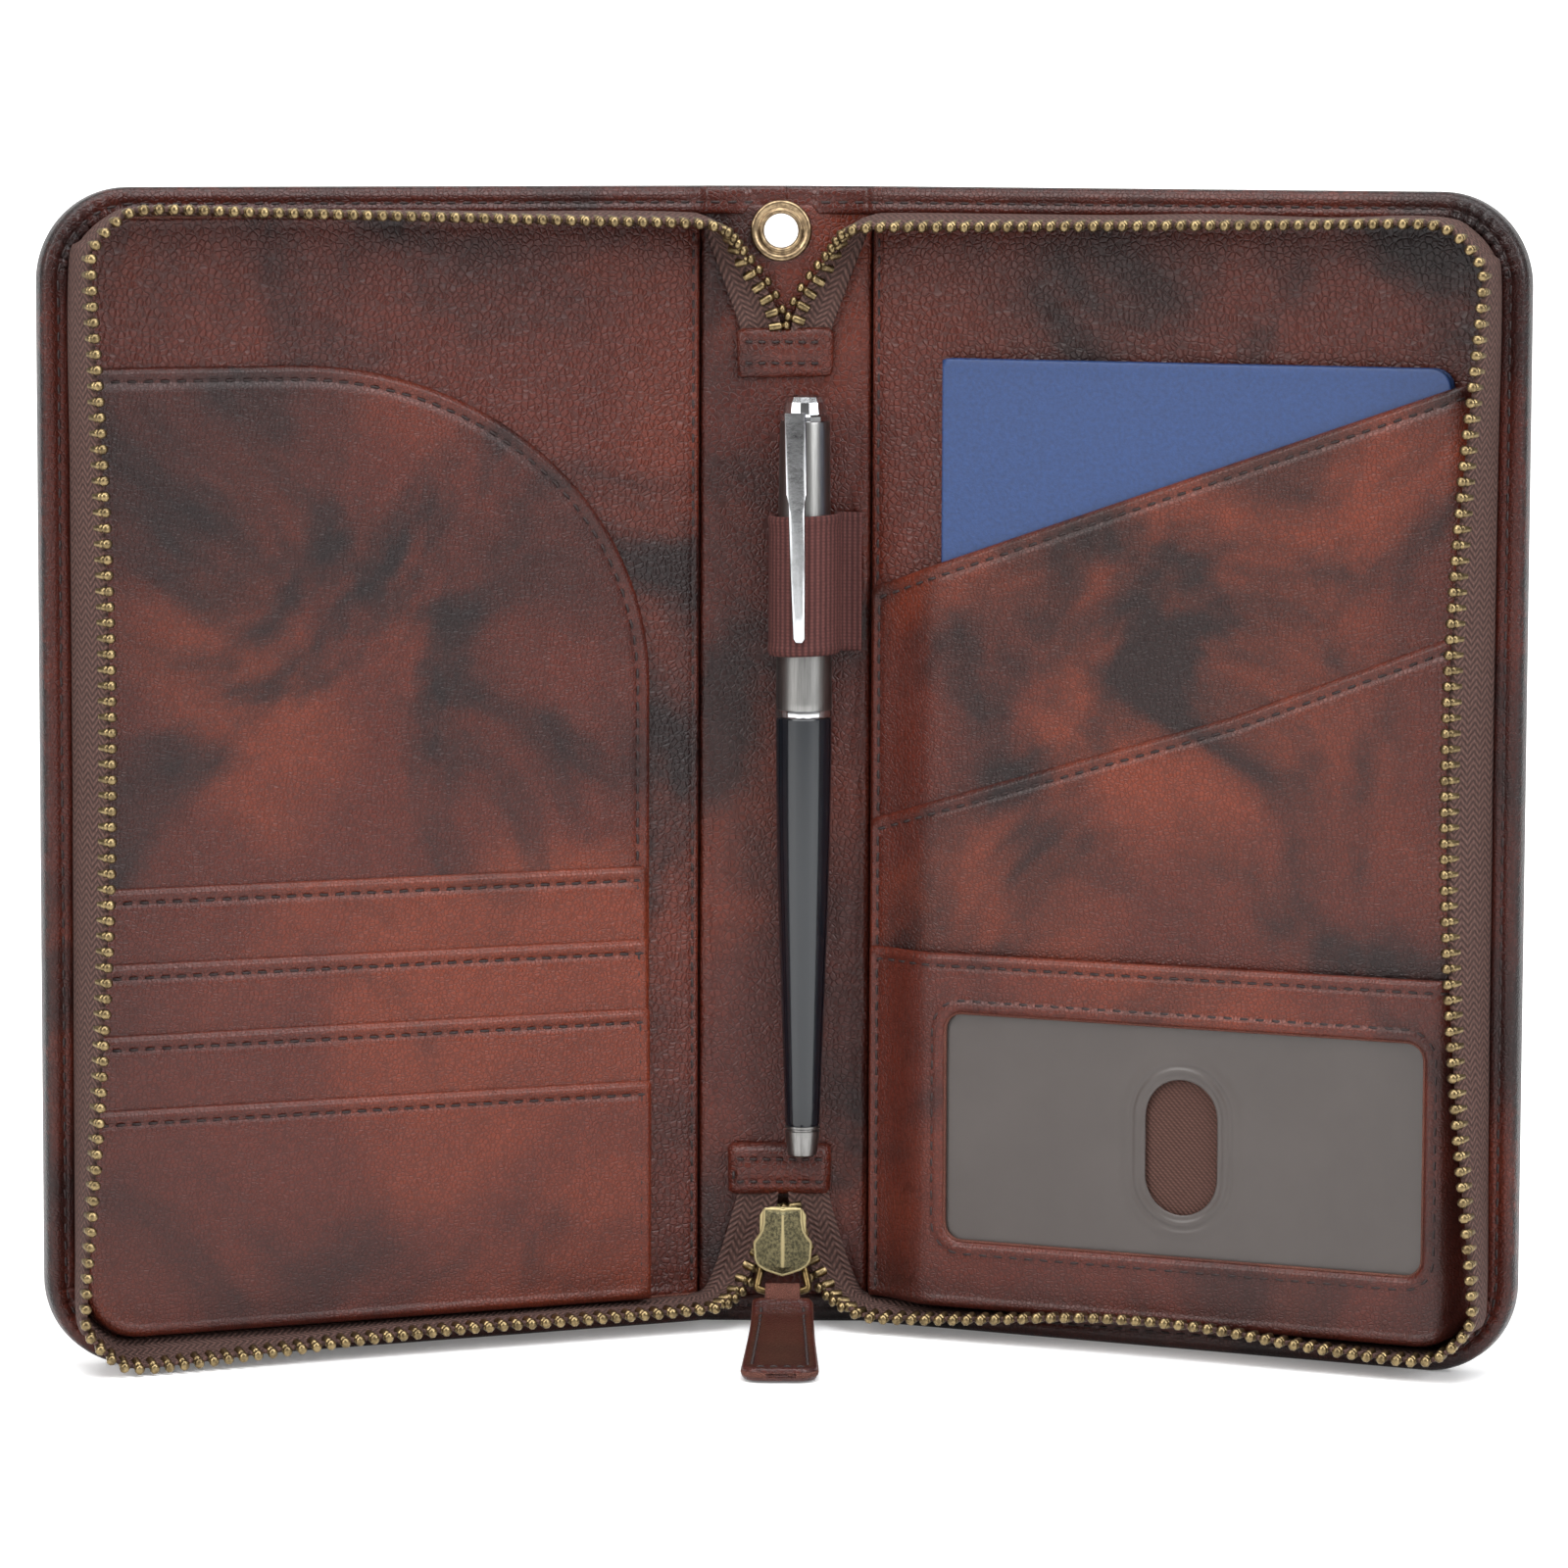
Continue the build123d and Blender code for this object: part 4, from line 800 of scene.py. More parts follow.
for side, sign in SIDES:
    outline = mirrored(resample(half_outline(0, CORNER_RADIUS), 0.45), sign)
    shell = sweep(f"{side}_turned_edge", outline, SHELL_PROFILE, height=edge_height,
                  narrow=edge_reach, pleat=corner_pleats)
    finish_piece(shell, rim_leather, f"{side}_turn", (f"{side}_rim", f"{side}_fold"))
    raw_route = mirrored(resample(half_outline(0, CORNER_RADIUS, SPINE_HALF + 1), 0.8), sign)
    raw_edge = sweep(f"{side}_rim_raw_edge", raw_route, RAW_PROFILE)
    finish_piece(raw_edge, raw_leather, f"{side}_turn")

    # The back sheets overlap at the middle of the spine, and each has its share of the
    # eyelet's hole in that edge
    back = half_outline(3.4, CORNER_RADIUS - 3.4, -BACK_OVERLAP)
    dip = math.degrees(math.acos((abs(EYELET_X) - sign * BACK_OVERLAP) / EYELET_HOLE))
    if sign > 0:
        notch = arc(EYELET_X, EYELET_Z, EYELET_HOLE, dip, -dip, 10)
    else:
        notch = arc(-EYELET_X, EYELET_Z, EYELET_HOLE, 180 - dip, -180 + dip, 20)
    back = np.vstack([back, [p for p in notch if p[0] > 0.01 - BACK_OVERLAP]])
    under = BACK_STEP if sign > 0 else 0.0
    back_sheet = panel(f"{side}_back_sheet", mirrored(back, sign), 1.0, 1.0 - under, facing=-1,
                       roll=0.3, bead=0, swell=0.05, spacing=1.3)
    finish_piece(back_sheet, outer_leather, f"{side}_turn", (f"{side}_outer_leather",))

    lining_edge = mirrored([(SPINE_HALF + 0.3, 4.1)] + [tuple(p) for p in half_outline(
        4.1, CORNER_RADIUS - 4.1, SPINE_HALF + 0.3)[1:]], sign)
    seam_s = SPINE_HALF + 1.75
    seam = np.array([(sign * seam_s, 4.5), (sign * seam_s, HEIGHT - 4.5)])
    lining = panel(f"{side}_cover_lining", lining_edge, 2.75, 0.95, seams=[seam], spacing=1.7,
                   swell=0.16, seed=2.0 + sign)
    finish_piece(lining, lining_leather, f"{side}_turn", (f"{side}_lining",))
    seam_path = [np.column_stack([seam[:, 0], (6.5, HEIGHT - 6.5), (3.62, 3.62)])]
    finish_piece(stitches(f"{side}_lining_stitches", seam_path), thread, f"{side}_turn")

    # Rim stitches run all round, and across the spine's ends as well
    rim_route = mirrored(resample(half_outline(2.7, CORNER_RADIUS - 2.7, 0.8), 0.6), sign)
    rim_level = 4.12 * edge_height(rim_route) + 0.1
    rim_path = np.column_stack([rim_route, rim_level])
    clear = np.hypot(rim_route[:, 0] - EYELET_X, rim_route[:, 1] - EYELET_Z) > 5.9
    finish_piece(stitches(f"{side}_rim_stitches", [rim_path[clear]]), thread, f"{side}_turn")


def spine_wrinkles(s, v):
    """Upright creases beside the linings, where the spine's leather bends each time."""
    points = np.column_stack([s, v])
    fine = wave(points * (1, 0.16), 1.5, 4.0)
    share = ease((np.abs(s) - 5.5) / 4)
    return share * (0.30 * fine - 0.12)


spine_edge = [(-14.3, 2.9), (14.3, 2.9), (14.3, HEIGHT - 2.9), (-14.3, HEIGHT - 2.9)]
eyelet_hole = arc(EYELET_X, EYELET_Z, EYELET_HOLE, 0, 340, 18)
spine_lining = panel("spine_lining", spine_edge, 2.0, 0.9, holes=[eyelet_hole], spacing=1.1,
                     swell=0.10, seed=5.0, extra=spine_wrinkles)
finish_piece(spine_lining, spine_leather, "spine", ("spine_inner_leather", "spine_outer_leather"))

# ---------------------------------------------------------------- left cover's pockets

POCKET_FAR = COVER_WIDTH - 5.2
POCKET_LOW = 5.0
POCKET_CORNER = 9
# A pocket's round lower corner, from the free edge down to its foot
LOW_CORNER = [(POCKET_FAR, POCKET_LOW + POCKET_CORNER)]
LOW_CORNER += arc(POCKET_FAR - POCKET_CORNER, POCKET_LOW + POCKET_CORNER, POCKET_CORNER, 0, -90,
                  10)[1:]


def cover_route(points, sign):
    """Cover points (u, v) as (s, v)."""
    points = np.array(points, float)
    return np.column_stack([sign * (SPINE_HALF + points[:, 0]), points[:, 1]])


def offset_route(route, distance):
    """The route moved to its left."""
    return route + inward(route, False) * distance


slip_top = [(72 - 62.2 * math.cos(a), 108 + 53.3 * math.sin(a))
            for a in np.radians(np.linspace(0, 90, 30))]
slip_mouth = [(9.8, POCKET_LOW + 2)] + slip_top + [(POCKET_FAR, 161.3)]
slip_outline = slip_mouth + LOW_CORNER + [(9.8, POCKET_LOW)]
slip_seam = offset_route(resample(cover_route(slip_mouth, -1), 1.0), 2.25)
slip_pocket = panel("left_slip_pocket_leather", cover_route(slip_outline, -1), 3.7, 0.85,
                    seams=[slip_seam], spacing=1.6, swell=0.20, seed=11.0)
finish_piece(slip_pocket, pocket_leather, "left_cover", ("left_slip_pocket",))
slip_stitches = stitches(
    "left_slip_pocket_stitches",
    [np.column_stack([slip_seam, np.full(len(slip_seam), 4.42)])],
)
finish_piece(slip_stitches, thread, "left_cover")

CARD_TOPS = (77.5, 65.4, 53.9, 41.9)
CARD_NEAR = 10.4
for number, top in enumerate(CARD_TOPS, start=1):
    low = CARD_TOPS[number] - 4.0 if number < len(CARD_TOPS) else POCKET_LOW
    level = 4.45 + 0.62 * (number - 1)
    mouth = [(CARD_NEAR, top), (POCKET_FAR, top + 0.2)]
    edge = [(CARD_NEAR, low), *mouth]
    if number < len(CARD_TOPS):
        edge += [(POCKET_FAR, low)]
    else:
        edge += LOW_CORNER
    seam = resample(cover_route([(CARD_NEAR + 0.5, top - 2.3), (POCKET_FAR, top - 2.1)], -1), 2)
    card = panel(f"card_slot_leather_{number}", cover_route(edge, -1), level, 0.72, seams=[seam],
                 spacing=1.5, swell=0.16, seed=20.0 + number, bead=0.3)
    finish_piece(card, slot_leather, "left_cover", (f"card_slot_{number}",))
    thread_path = np.column_stack([seam, np.full(len(seam), level + 0.62)])
    finish_piece(stitches(f"card_slot_stitches_{number}", [thread_path]), thread, "left_cover")

# One upright seam sews the slots' near ends down
side_seam = []
for number, top in enumerate(CARD_TOPS, start=1):
    low = CARD_TOPS[number] - 1.0 if number < len(CARD_TOPS) else POCKET_LOW + 2
    level = 4.45 + 0.62 * (number - 1) + 0.60
    side_seam.append([(-(SPINE_HALF + 12.3), low, level), (-(SPINE_HALF + 12.3), top - 1, level)])
finish_piece(stitches("card_slot_side_stitches", side_seam), thread, "left_cover")

# ---------------------------------------------------------------- right cover's pockets

PASSPORT_NEAR = 14.3
PASSPORT_FAR = 102.3
PASSPORT_LOW = 37.0
PASSPORT_HIGH = 162.0
BOOK_RISE = 2.8
WINDOW = (17.1, 16.2, 100.7, 54.4)
WINDOW_LIFT = 1.5


def over_booklet(s):
    """How far the pockets are lifted by the passport and the cards behind them."""
    u = np.abs(s) - SPINE_HALF
    return ease((u - 2.5) / 12.3) * (1 - ease((u - 103.0) / 5.0))


def pocket_level(order, extra_lift=0.0):
    def level(s, v):
        return 3.72 + 0.75 * order + (BOOK_RISE + extra_lift) * over_booklet(s)

    return level


def seam_top(seam, mouth):
    """Height that a seam below a mouth keeps under."""
    u = seam[:, 0] - SPINE_HALF
    return np.interp(u, [p[0] for p in mouth], [p[1] for p in mouth]) - 1.6


def right_pocket(name, mouth, order, node, material, seed, lift=0.0, holes=(), swell=0.2):
    """A pocket of the right cover: near edge, mouth, far edge under the zip, round corner."""
    near = mouth[0][0]
    outline = [(near, POCKET_LOW), *mouth, *LOW_CORNER]
    route = cover_route([(near, POCKET_LOW + 1), *mouth], 1)
    dense = resample(route, 0.8)
    seam = offset_route(dense, -2.0)
    seam = seam[(seam[:, 0] > route[0, 0] + 1.9) & (seam[:, 1] < seam_top(seam, mouth))]
    level = pocket_level(order, lift)
    leather_piece = panel(name, cover_route(outline, 1), level, 0.85, seams=[seam], holes=holes,
                          spacing=1.5, swell=swell, seed=seed, bead=0.3)
    finish_piece(leather_piece, material, "right_turn", (node,))
    height = level(seam[:, 0], seam[:, 1]) + 0.72
    finish_piece(stitches(f"{name}_stitches", [np.column_stack([seam, height])]), thread,
                 "right_turn")
    return leather_piece


NEAR_EDGES = (0.5, 0.8, 1.1)
SLANT_KINK = (66, 105)
passport_mouth = [(NEAR_EDGES[0], 123.5), (POCKET_FAR, 161)]
slant_mouth = [(NEAR_EDGES[1], 85), SLANT_KINK, (POCKET_FAR, 121.5)]
id_mouth = [(NEAR_EDGES[2], 64), (POCKET_FAR, 64.5)]
right_pocket("passport_pocket_leather", passport_mouth, 0, "passport_pocket", pocket_leather, 31)
right_pocket("slant_pocket_leather", slant_mouth, 1, "slant_pocket", pocket_leather, 33)


def rounded_box(low_u, low_v, high_u, high_v, radius, count=7):
    points = []
    for cu, cv, start in ((high_u - radius, low_v + radius, -90),
                          (high_u - radius, high_v - radius, 0),
                          (low_u + radius, high_v - radius, 90),
                          (low_u + radius, low_v + radius, 180)):
        points += arc(cu, cv, radius, start, start + 90, count)
    return points


def window_box(grow, radius):
    """The card window's opening, grown by a margin all round."""
    return cover_route(rounded_box(WINDOW[0] - grow, WINDOW[1] - grow, WINDOW[2] + grow,
                                   WINDOW[3] + grow, radius), 1)


window_edge = window_box(0, 3.0)
right_pocket("id_pocket_leather", id_mouth, 2, "id_pocket_frame", slot_leather, 37,
             lift=WINDOW_LIFT, holes=[window_edge], swell=0.1)
frame_top = float(pocket_level(2, WINDOW_LIFT)(np.array([SPINE_HALF + 50]), 0)[0])
window_seam = resample(window_box(2, 5.0), 0.8, closed=True)
window_path = np.column_stack([window_seam, np.full(len(window_seam), frame_top + 0.86)])
finish_piece(stitches("id_window_stitches", [window_path]), thread, "right_cover")
raw_ring = sweep("id_window_raw_edge", resample(window_edge, 0.8, closed=True),
                 [(0.25, frame_top - 0.1), (-0.15, frame_top - 0.1), (-0.15, frame_top + 0.5),
                  (0.05, frame_top + 0.62), (0.3, frame_top + 0.45)], closed_path=True)
finish_piece(raw_ring, raw_leather, "right_cover")

# Clear film with its thumb slot, and an embossed double ring round the slot
THUMB = (58.8, 34.4, 12.5, 22.3)


def thumb_shape(grow):
    u, v, width, height = THUMB
    return rounded_box(u - width / 2 - grow, v - height / 2 - grow, u + width / 2 + grow,
                       v + height / 2 + grow, width / 2 + grow - 0.01, 10)


thumb_path = cover_route(thumb_shape(0), 1)
thumb_path = np.vstack([thumb_path, thumb_path[:1]])


def embossed(s, v):
    away = to_path(np.column_stack([s, v]), thumb_path)
    double = np.exp(-(((away - 1.6) / 0.35) ** 2)) + np.exp(-(((away - 3.0) / 0.35) ** 2))
    return 0.34 * double


film = panel("id_window_vinyl", window_box(1.6, 2.0), frame_top - 0.45, 0.22,
             holes=[cover_route(thumb_shape(0), 1)], spacing=1.1, bead=0.05, swell=0.03,
             roll=0.1, extra=embossed, seed=41.0)


def vinyl_material():
    material, tree, shader = nodes_for("vinyl_finish")
    cloud = noise_tex(tree, coords(tree), 60, 4, 0.65)
    tree.links.new(mix(tree, cloud, (0.046, 0.036, 0.032), (0.060, 0.048, 0.043)),
                   shader.inputs["Base Color"])
    tree.links.new(scaled(tree, ramp(tree, cloud, 0.2, 0.8), 0.04, 0.90), shader.inputs["Alpha"])
    shader.inputs["Roughness"].default_value = 0.42
    shader.inputs["Coat Weight"].default_value = 0.15
    shader.inputs["Coat Roughness"].default_value = 0.2
    return material


finish_piece(film, vinyl_material(), "right_cover", ("id_window_film",))
backing_edge = cover_route([(13.5, 8), (104.5, 8), (104.5, 61.5), (13.5, 61.5)], 1)
backing = panel("id_window_twill", backing_edge, frame_top - 1.55, 0.3, spacing=2.0, bead=0.0,
                swell=0.05, roll=0.2, seed=43.0)
finish_piece(backing, twill, "right_cover", ("id_window_backing",))

# ---------------------------------------------------------------- passport

BOOK_CORNER = 3.2


def booklet(near_inset, inset):
    """Outline of the passport's cover, or of its pages set in from the cover's edges."""
    corner = BOOK_CORNER + inset
    outline = [(PASSPORT_NEAR + near_inset, PASSPORT_LOW + inset)]
    outline += arc(PASSPORT_FAR - corner, PASSPORT_LOW + corner, BOOK_CORNER, -90, 0, 6)
    outline += arc(PASSPORT_FAR - corner, PASSPORT_HIGH - corner, BOOK_CORNER, 0, 90, 6)
    return outline + [(PASSPORT_NEAR + near_inset, PASSPORT_HIGH - inset)]


book = booklet(0, 0)
pages = booklet(0.4, 0.8)
back_cover = panel("passport_back_cover", cover_route(book, 1), 4.0, 0.4, spacing=4, bead=0,
                   swell=0.03, roll=0.2)
finish_piece(back_cover, passport_blue, "passport")
page_block = panel("passport_page_block", cover_route(pages, 1), 4.4, 1.4, spacing=4, bead=0,
                   swell=0.02, roll=0.15)
finish_piece(page_block, paper, "passport", ("passport_pages",))
front_cover = panel("passport_front_cover", cover_route(book, 1), 5.78, 0.42, spacing=2.0,
                    bead=0.03, swell=0.06, roll=0.3)
finish_piece(front_cover, passport_blue, "passport", ("passport_cover",))

# ---------------------------------------------------------------- tabs and the pen's loop

def tab_panel(name, corners, base, height, node, rows, closing=()):
    """A small leather patch with two rows of thread, domed over the joined tape ends."""
    seams = [resample([(x1, z), (x2, z)], 2) for x1, x2, z in rows]
    seams += [resample([(x, z1), (x, z2)], 2) for x, z1, z2 in closing]
    patch = panel(name, corners, base, height, seams=seams, spacing=0.8, roll=2.2, swell=0.3,
                  seed=51.0, bead=0.0, groove=0.3)
    finish_piece(patch, spine_leather, "spine", (node,))
    paths = [np.column_stack([seam, np.full(len(seam), base + height - 0.05)]) for seam in seams]
    finish_piece(stitches(f"{name}_stitches", paths, length=1.3, pitch=2.2, radius=0.2), thread,
                 "spine")


tab_panel("top_zip_tab", [(-8.0, 158.7), (-7.4, 158.3), (7.2, 158.6), (7.8, 159.3), (7.9, 166.0),
                          (7.3, 166.7), (-7.6, 166.5), (-8.2, 165.9)],
          2.95, 1.6, "top_tab", [(-7.2, 7.0, 164.3), (-7.2, 7.0, 160.8)])
tab_panel("bottom_zip_tab", [(-9.2, 22.3), (-8.6, 21.7), (7.2, 21.8), (7.9, 22.5), (8.1, 29.6),
                             (7.4, 30.3), (-8.4, 30.4), (-9.3, 29.7)],
          2.95, 3.0, "bottom_tab", [(-8.2, 7.2, 27.9), (-8.2, 7.2, 24.1)], [(-8.3, 24.1, 27.9)])

PEN_X = 3.2
PEN_DEPTH = 9.2
LOOP_LOW = 113.0
LOOP_HIGH = 136.4
LOOP_RADIUS = 5.5

# The elastic's route seen from above: flat tail, round the pen, and back under its own start
loop_plan = [(12.7, 3.45), (10.6, 3.5), (9.0, 4.2), (8.5, 6.0)]
loop_plan += [(PEN_X + LOOP_RADIUS * math.cos(a), PEN_DEPTH + LOOP_RADIUS * math.sin(a))
              for a in np.radians(np.arange(-10, 231, 12))]
loop_plan += [(2.4, 3.62), (7.0, 3.55)]
loop_plan = resample(curve_through(loop_plan, 6), 0.35)


def elastic_loop():
    heights = np.arange(LOOP_LOW, LOOP_HIGH + 0.01, 0.35)
    from_hem = np.minimum(heights - LOOP_LOW, LOOP_HIGH - heights)
    half = 0.42 + 0.16 * np.exp(-(((from_hem - 1.1) / 0.7) ** 2)) - 0.22 * np.exp(-from_hem / 0.3)
    normal = inward(loop_plan, False)
    along = running_length(loop_plan)
    n, m = len(loop_plan), len(heights)
    sides = []
    for direction in (1, -1):
        rib = 0.035 * np.cos(along[:, None] * 2 * math.pi / 0.95) * (from_hem > 1.9)[None]
        away = direction * (half[None] + rib)
        x = loop_plan[:, None, 0] + normal[:, None, 0] * away
        depth = loop_plan[:, None, 1] + normal[:, None, 1] * away
        z = np.repeat(heights[None], n, 0) + 0.2 * np.sin(along / 5)[:, None]
        sides.append(np.stack([x, BACK_Y - depth, z], -1).reshape(-1, 3))
    uv = np.stack([np.repeat(along, m), np.tile(heights, n)], -1)
    faces = two_sided(n, m)
    return new_object("pen_loop_elastic", np.vstack(sides) * MM, faces, np.vstack([uv, uv]))


finish_piece(elastic_loop(), elastic_weave, "spine", ("pen_loop",))


# ---------------------------------------------------------------- pen

def turned(name, profile, material, body, nodes=(), count=56, crisp=30):
    centre = (PEN_X, BACK_Y - PEN_DEPTH, 0)
    obj = lathe(name, profile, centre, count=count)
    sharpen(obj, crisp)
    return finish_piece(obj, material, body, nodes)


barrel = [(0.0, 34.3), (2.75, 34.3), (2.85, 34.6)]
barrel += [(2.9 + 1.75 * math.sin(t * math.pi / 2) ** 1.15, 34.8 + 67.5 * t)
           for t in np.linspace(0, 1, 22)]
barrel += [(4.5, 102.5), (3.3, 102.5), (3.1, 108), (2.9, 120.8), (0.0, 120.8)]
turned("pen_barrel_lacquer", barrel, lacquer, "pen_barrel", ("pen_barrel",))
turned("pen_tail_cap", [(0.0, 29.1), (2.0, 29.1), (2.35, 29.35), (2.5, 29.9), (2.62, 31.2),
                        (2.78, 32.4), (2.86, 33.3), (2.62, 33.5), (2.62, 33.7), (2.92, 33.9),
                        (2.92, 34.2), (2.7, 34.3), (0.0, 34.3)],
       steel, "pen_barrel", ("pen_tail",))
turned("pen_cap_sleeve", [(4.0, 103.9), (4.58, 103.9), (4.64, 104.1), (4.64, 105.0),
                          (4.6, 110.0), (4.12, 151.0), (4.05, 151.4), (0.0, 151.4),
                          (0.0, 148.4), (3.5, 148.4)],
       steel, "pen_cap", ("pen_cap",))
turned("pen_cap_ring", [(4.0, 102.6), (4.55, 102.6), (4.7, 102.8), (4.74, 103.3), (4.7, 103.8),
                        (4.5, 103.95), (4.0, 103.95)],
       chrome, "pen_cap", ("pen_cap_band",))
turned("pen_cap_finial", [(0.0, 151.4), (4.02, 151.4), (4.16, 151.6), (4.16, 152.3),
                          (3.95, 152.55), (3.6, 152.7), (3.52, 153.0), (3.35, 154.6),
                          (2.95, 155.5), (1.5, 155.9), (0.0, 155.95)],
       chrome, "pen_cap", ("pen_cap_jewel",), count=14, crisp=12)


def outline_plate(name, outline, laid, low, high, edge=0.15, crown=0.0):
    """A metal plate of the given outline with small rounded edges and a crowned face."""
    outline = counterclockwise(outline)
    normal = inward(outline, True)
    rings = []
    for inset, level in ((edge, low), (0.0, low + edge), (0.0, high - edge), (edge * 0.4, high -
                          edge * 0.3), (edge, high)):
        ring = outline + normal * inset
        rings.append(laid(ring[:, 0], ring[:, 1], np.full(len(ring), level)))
    if crown:
        middle = outline.mean(0)
        for share in (0.25, 0.5, 0.75):
            ring = outline + normal * edge
            ring = ring + (middle - ring) * share
            rings.append(laid(ring[:, 0], ring[:, 1], np.full(len(ring), high + crown * share)))
    points, faces = rings_to_mesh(rings)
    wear = np.zeros(len(points))
    wear[len(outline) : 5 * len(outline)] = 1.0
    return new_object(name, points, faces, wear=wear)


def pen_clip_map(s, v, w):
    """Clip coordinates: across, up, and out from the pen's axis, leaning a little."""
    s, v, w = np.broadcast_arrays(s, v, w)
    lean = (v - 134) * 0.022
    return np.stack([2.0 + s - lean, BACK_Y - PEN_DEPTH - w, v], -1) * MM


clip_outline = [(-1.0, 116.0), (-0.55, 115.3), (0.55, 115.3), (1.0, 116.0), (1.25, 128.0),
                (1.4, 139.0), (1.75, 139.6), (1.75, 153.1), (-1.75, 153.1), (-1.75, 139.6),
                (-1.4, 139.0), (-1.25, 128.0)]
clip = outline_plate("pen_clip_blade", clip_outline, pen_clip_map, 6.2, 7.0, edge=0.2, crown=0.25)
sharpen(clip, 40)
finish_piece(clip, chrome, "pen_cap", ("pen_clip",))
bridge = outline_plate("pen_clip_bridge", [(-1.7, 151.5), (1.7, 151.5), (1.7, 153.0),
                                           (-1.7, 153.0)], pen_clip_map, 3.6, 6.6, edge=0.2)
sharpen(bridge, 40)
finish_piece(bridge, chrome, "pen_cap")
foot = outline_plate("pen_clip_foot", [(-0.9, 115.9), (0.9, 115.9), (0.9, 117.6), (-0.9, 117.6)],
                     pen_clip_map, 5.95, 6.4, edge=0.15)
sharpen(foot, 40)
finish_piece(foot, chrome, "pen_cap")

# ---------------------------------------------------------------- eyelet

eyelet_profile = [(2.8, -0.3), (2.8, 3.3), (2.95, 3.72), (3.25, 3.88), (3.55, 3.75),
                  (3.7, 3.45), (3.95, 3.38), (4.2, 3.55), (4.55, 3.72), (4.9, 3.6), (5.08, 3.3),
                  (5.05, 2.85), (3.2, 2.85), (3.2, 0.0), (5.0, 0.0), (5.05, -0.25),
                  (4.7, -0.48), (3.3, -0.5), (2.95, -0.45)]
eyelet = lathe("eyelet_ring", eyelet_profile, (EYELET_X, BACK_Y, EYELET_Z), axis_y=True, count=64)
finish_piece(eyelet, eyelet_brass, "spine", ("eyelet", "eyelet_washer"))

# ---------------------------------------------------------------- zip

FOOT_INSET = 4.6
FOOT_W = 3.6
TIP_W = 15.0
FOOT_RADIUS = CORNER_RADIUS - FOOT_INSET

# Tooth line of each cover. Along the bottom it runs from fold_low to far_low, with a hump
# between them; up the free edge it runs from reach_low to reach_high and bows inwards; along
# the top it runs from far_high back to fold_high.
TOOTH_LINES = {
    "left": dict(fold_low=4, far_low=1.5, hump=1, reach_low=111, reach_high=109, bow=3.5,
                 far_high=186.5, fold_high=184),
    "right": dict(fold_low=3, far_low=3.5, hump=3, reach_low=110.5, reach_high=110, bow=5,
                  far_high=185, fold_high=183.5),
}
TOOTH_CORNER = 10
TOOTH_START = 6


def tooth_line(fold_low, far_low, hump, reach_low, reach_high, bow, far_high, fold_high):
    """(u, v) of the tooth line from the bottom of the fold round to its top."""
    share = np.linspace(0, 1, 6)
    rise = hump * np.sin(share * math.pi) ** 2
    turn_low, turn_high = reach_low - TOOTH_CORNER, reach_high - TOOTH_CORNER
    bottom = np.column_stack([TOOTH_START + (turn_low - TOOTH_START) * share,
                              fold_low + (far_low - fold_low) * share + rise])
    side_low, side_high = far_low + TOOTH_CORNER, far_high - TOOTH_CORNER
    side = np.column_stack([
        reach_low + (reach_high - reach_low) * share - bow * np.sin(share * math.pi),
        side_low + (side_high - side_low) * share,
    ])
    top = np.column_stack([turn_high + (TOOTH_START - turn_high) * share,
                           far_high + (fold_high - far_high) * share])
    low_corner = arc(turn_low, side_low, TOOTH_CORNER, -90, 0, 4)[1:-1]
    high_corner = arc(turn_high, side_high, TOOTH_CORNER, 0, 90, 4)[1:-1]
    return np.vstack([bottom, low_corner, side, high_corner, top])


# Pairs of foot and tip on the spine, (x, depth, z), from the tab out to the fold
SPINE_LOW = (((7.3, 4.3, 26.0), (0.85, 4.9, 26.0)), ((7.7, 4.4, 21.8), (0.95, 4.95, 20.6)),
             ((9.4, 4.2, 15.5), (2.6, 5.0, 14.0)), ((11.3, 4.0, 9.6), (4.9, 5.6, 9.2)),
             ((13.2, 4.1, 5.6), (7.9, 8.8, 5.6)), ((15.6, 4.5, 4.7), (10.6, 13.4, 4.4)))
SPINE_HIGH = (((15.6, 4.5, 185.2), (10.3, 13.4, 182.9)), ((13.8, 3.9, 183.6), (8.9, 9.6, 181.4)),
              ((12.4, 3.5, 180.0), (7.6, 6.6, 179.2)), ((10.4, 3.4, 174.6), (5.3, 4.6, 175.8)),
              ((8.9, 3.4, 170.3), (2.6, 4.1, 171.8)), ((7.6, 3.4, 166.6), (0.95, 4.0, 167.4)),
              ((7.3, 3.4, 163.0), (0.85, 4.0, 163.0)))


def nearest_foot(u, v):
    """Point of the tape's rounded foot line nearest to a tip."""
    far, low, high = COVER_WIDTH - FOOT_INSET, FOOT_INSET, HEIGHT - FOOT_INSET
    centre_u = far - FOOT_RADIUS
    centre_v = min(max(v, low + FOOT_RADIUS), high - FOOT_RADIUS)
    if u > centre_u:
        away = np.array([u - centre_u, v - centre_v])
        away = away / max(np.linalg.norm(away), 1e-6) * FOOT_RADIUS
        return centre_u + away[0], centre_v + away[1]
    return u, (low if v < HEIGHT / 2 else high)


def rigid(sign, u, v, w):
    """Cover point in millimetres of the row frame, without the bend at the fold."""
    c, s = math.cos(OPEN_ANGLE), math.sin(OPEN_ANGLE)
    return (
        sign * (SPINE_HALF + u * c - (w - FOLD_DEPTH) * s),
        fold_y - u * s - (w - FOLD_DEPTH) * c,
        v,
    )


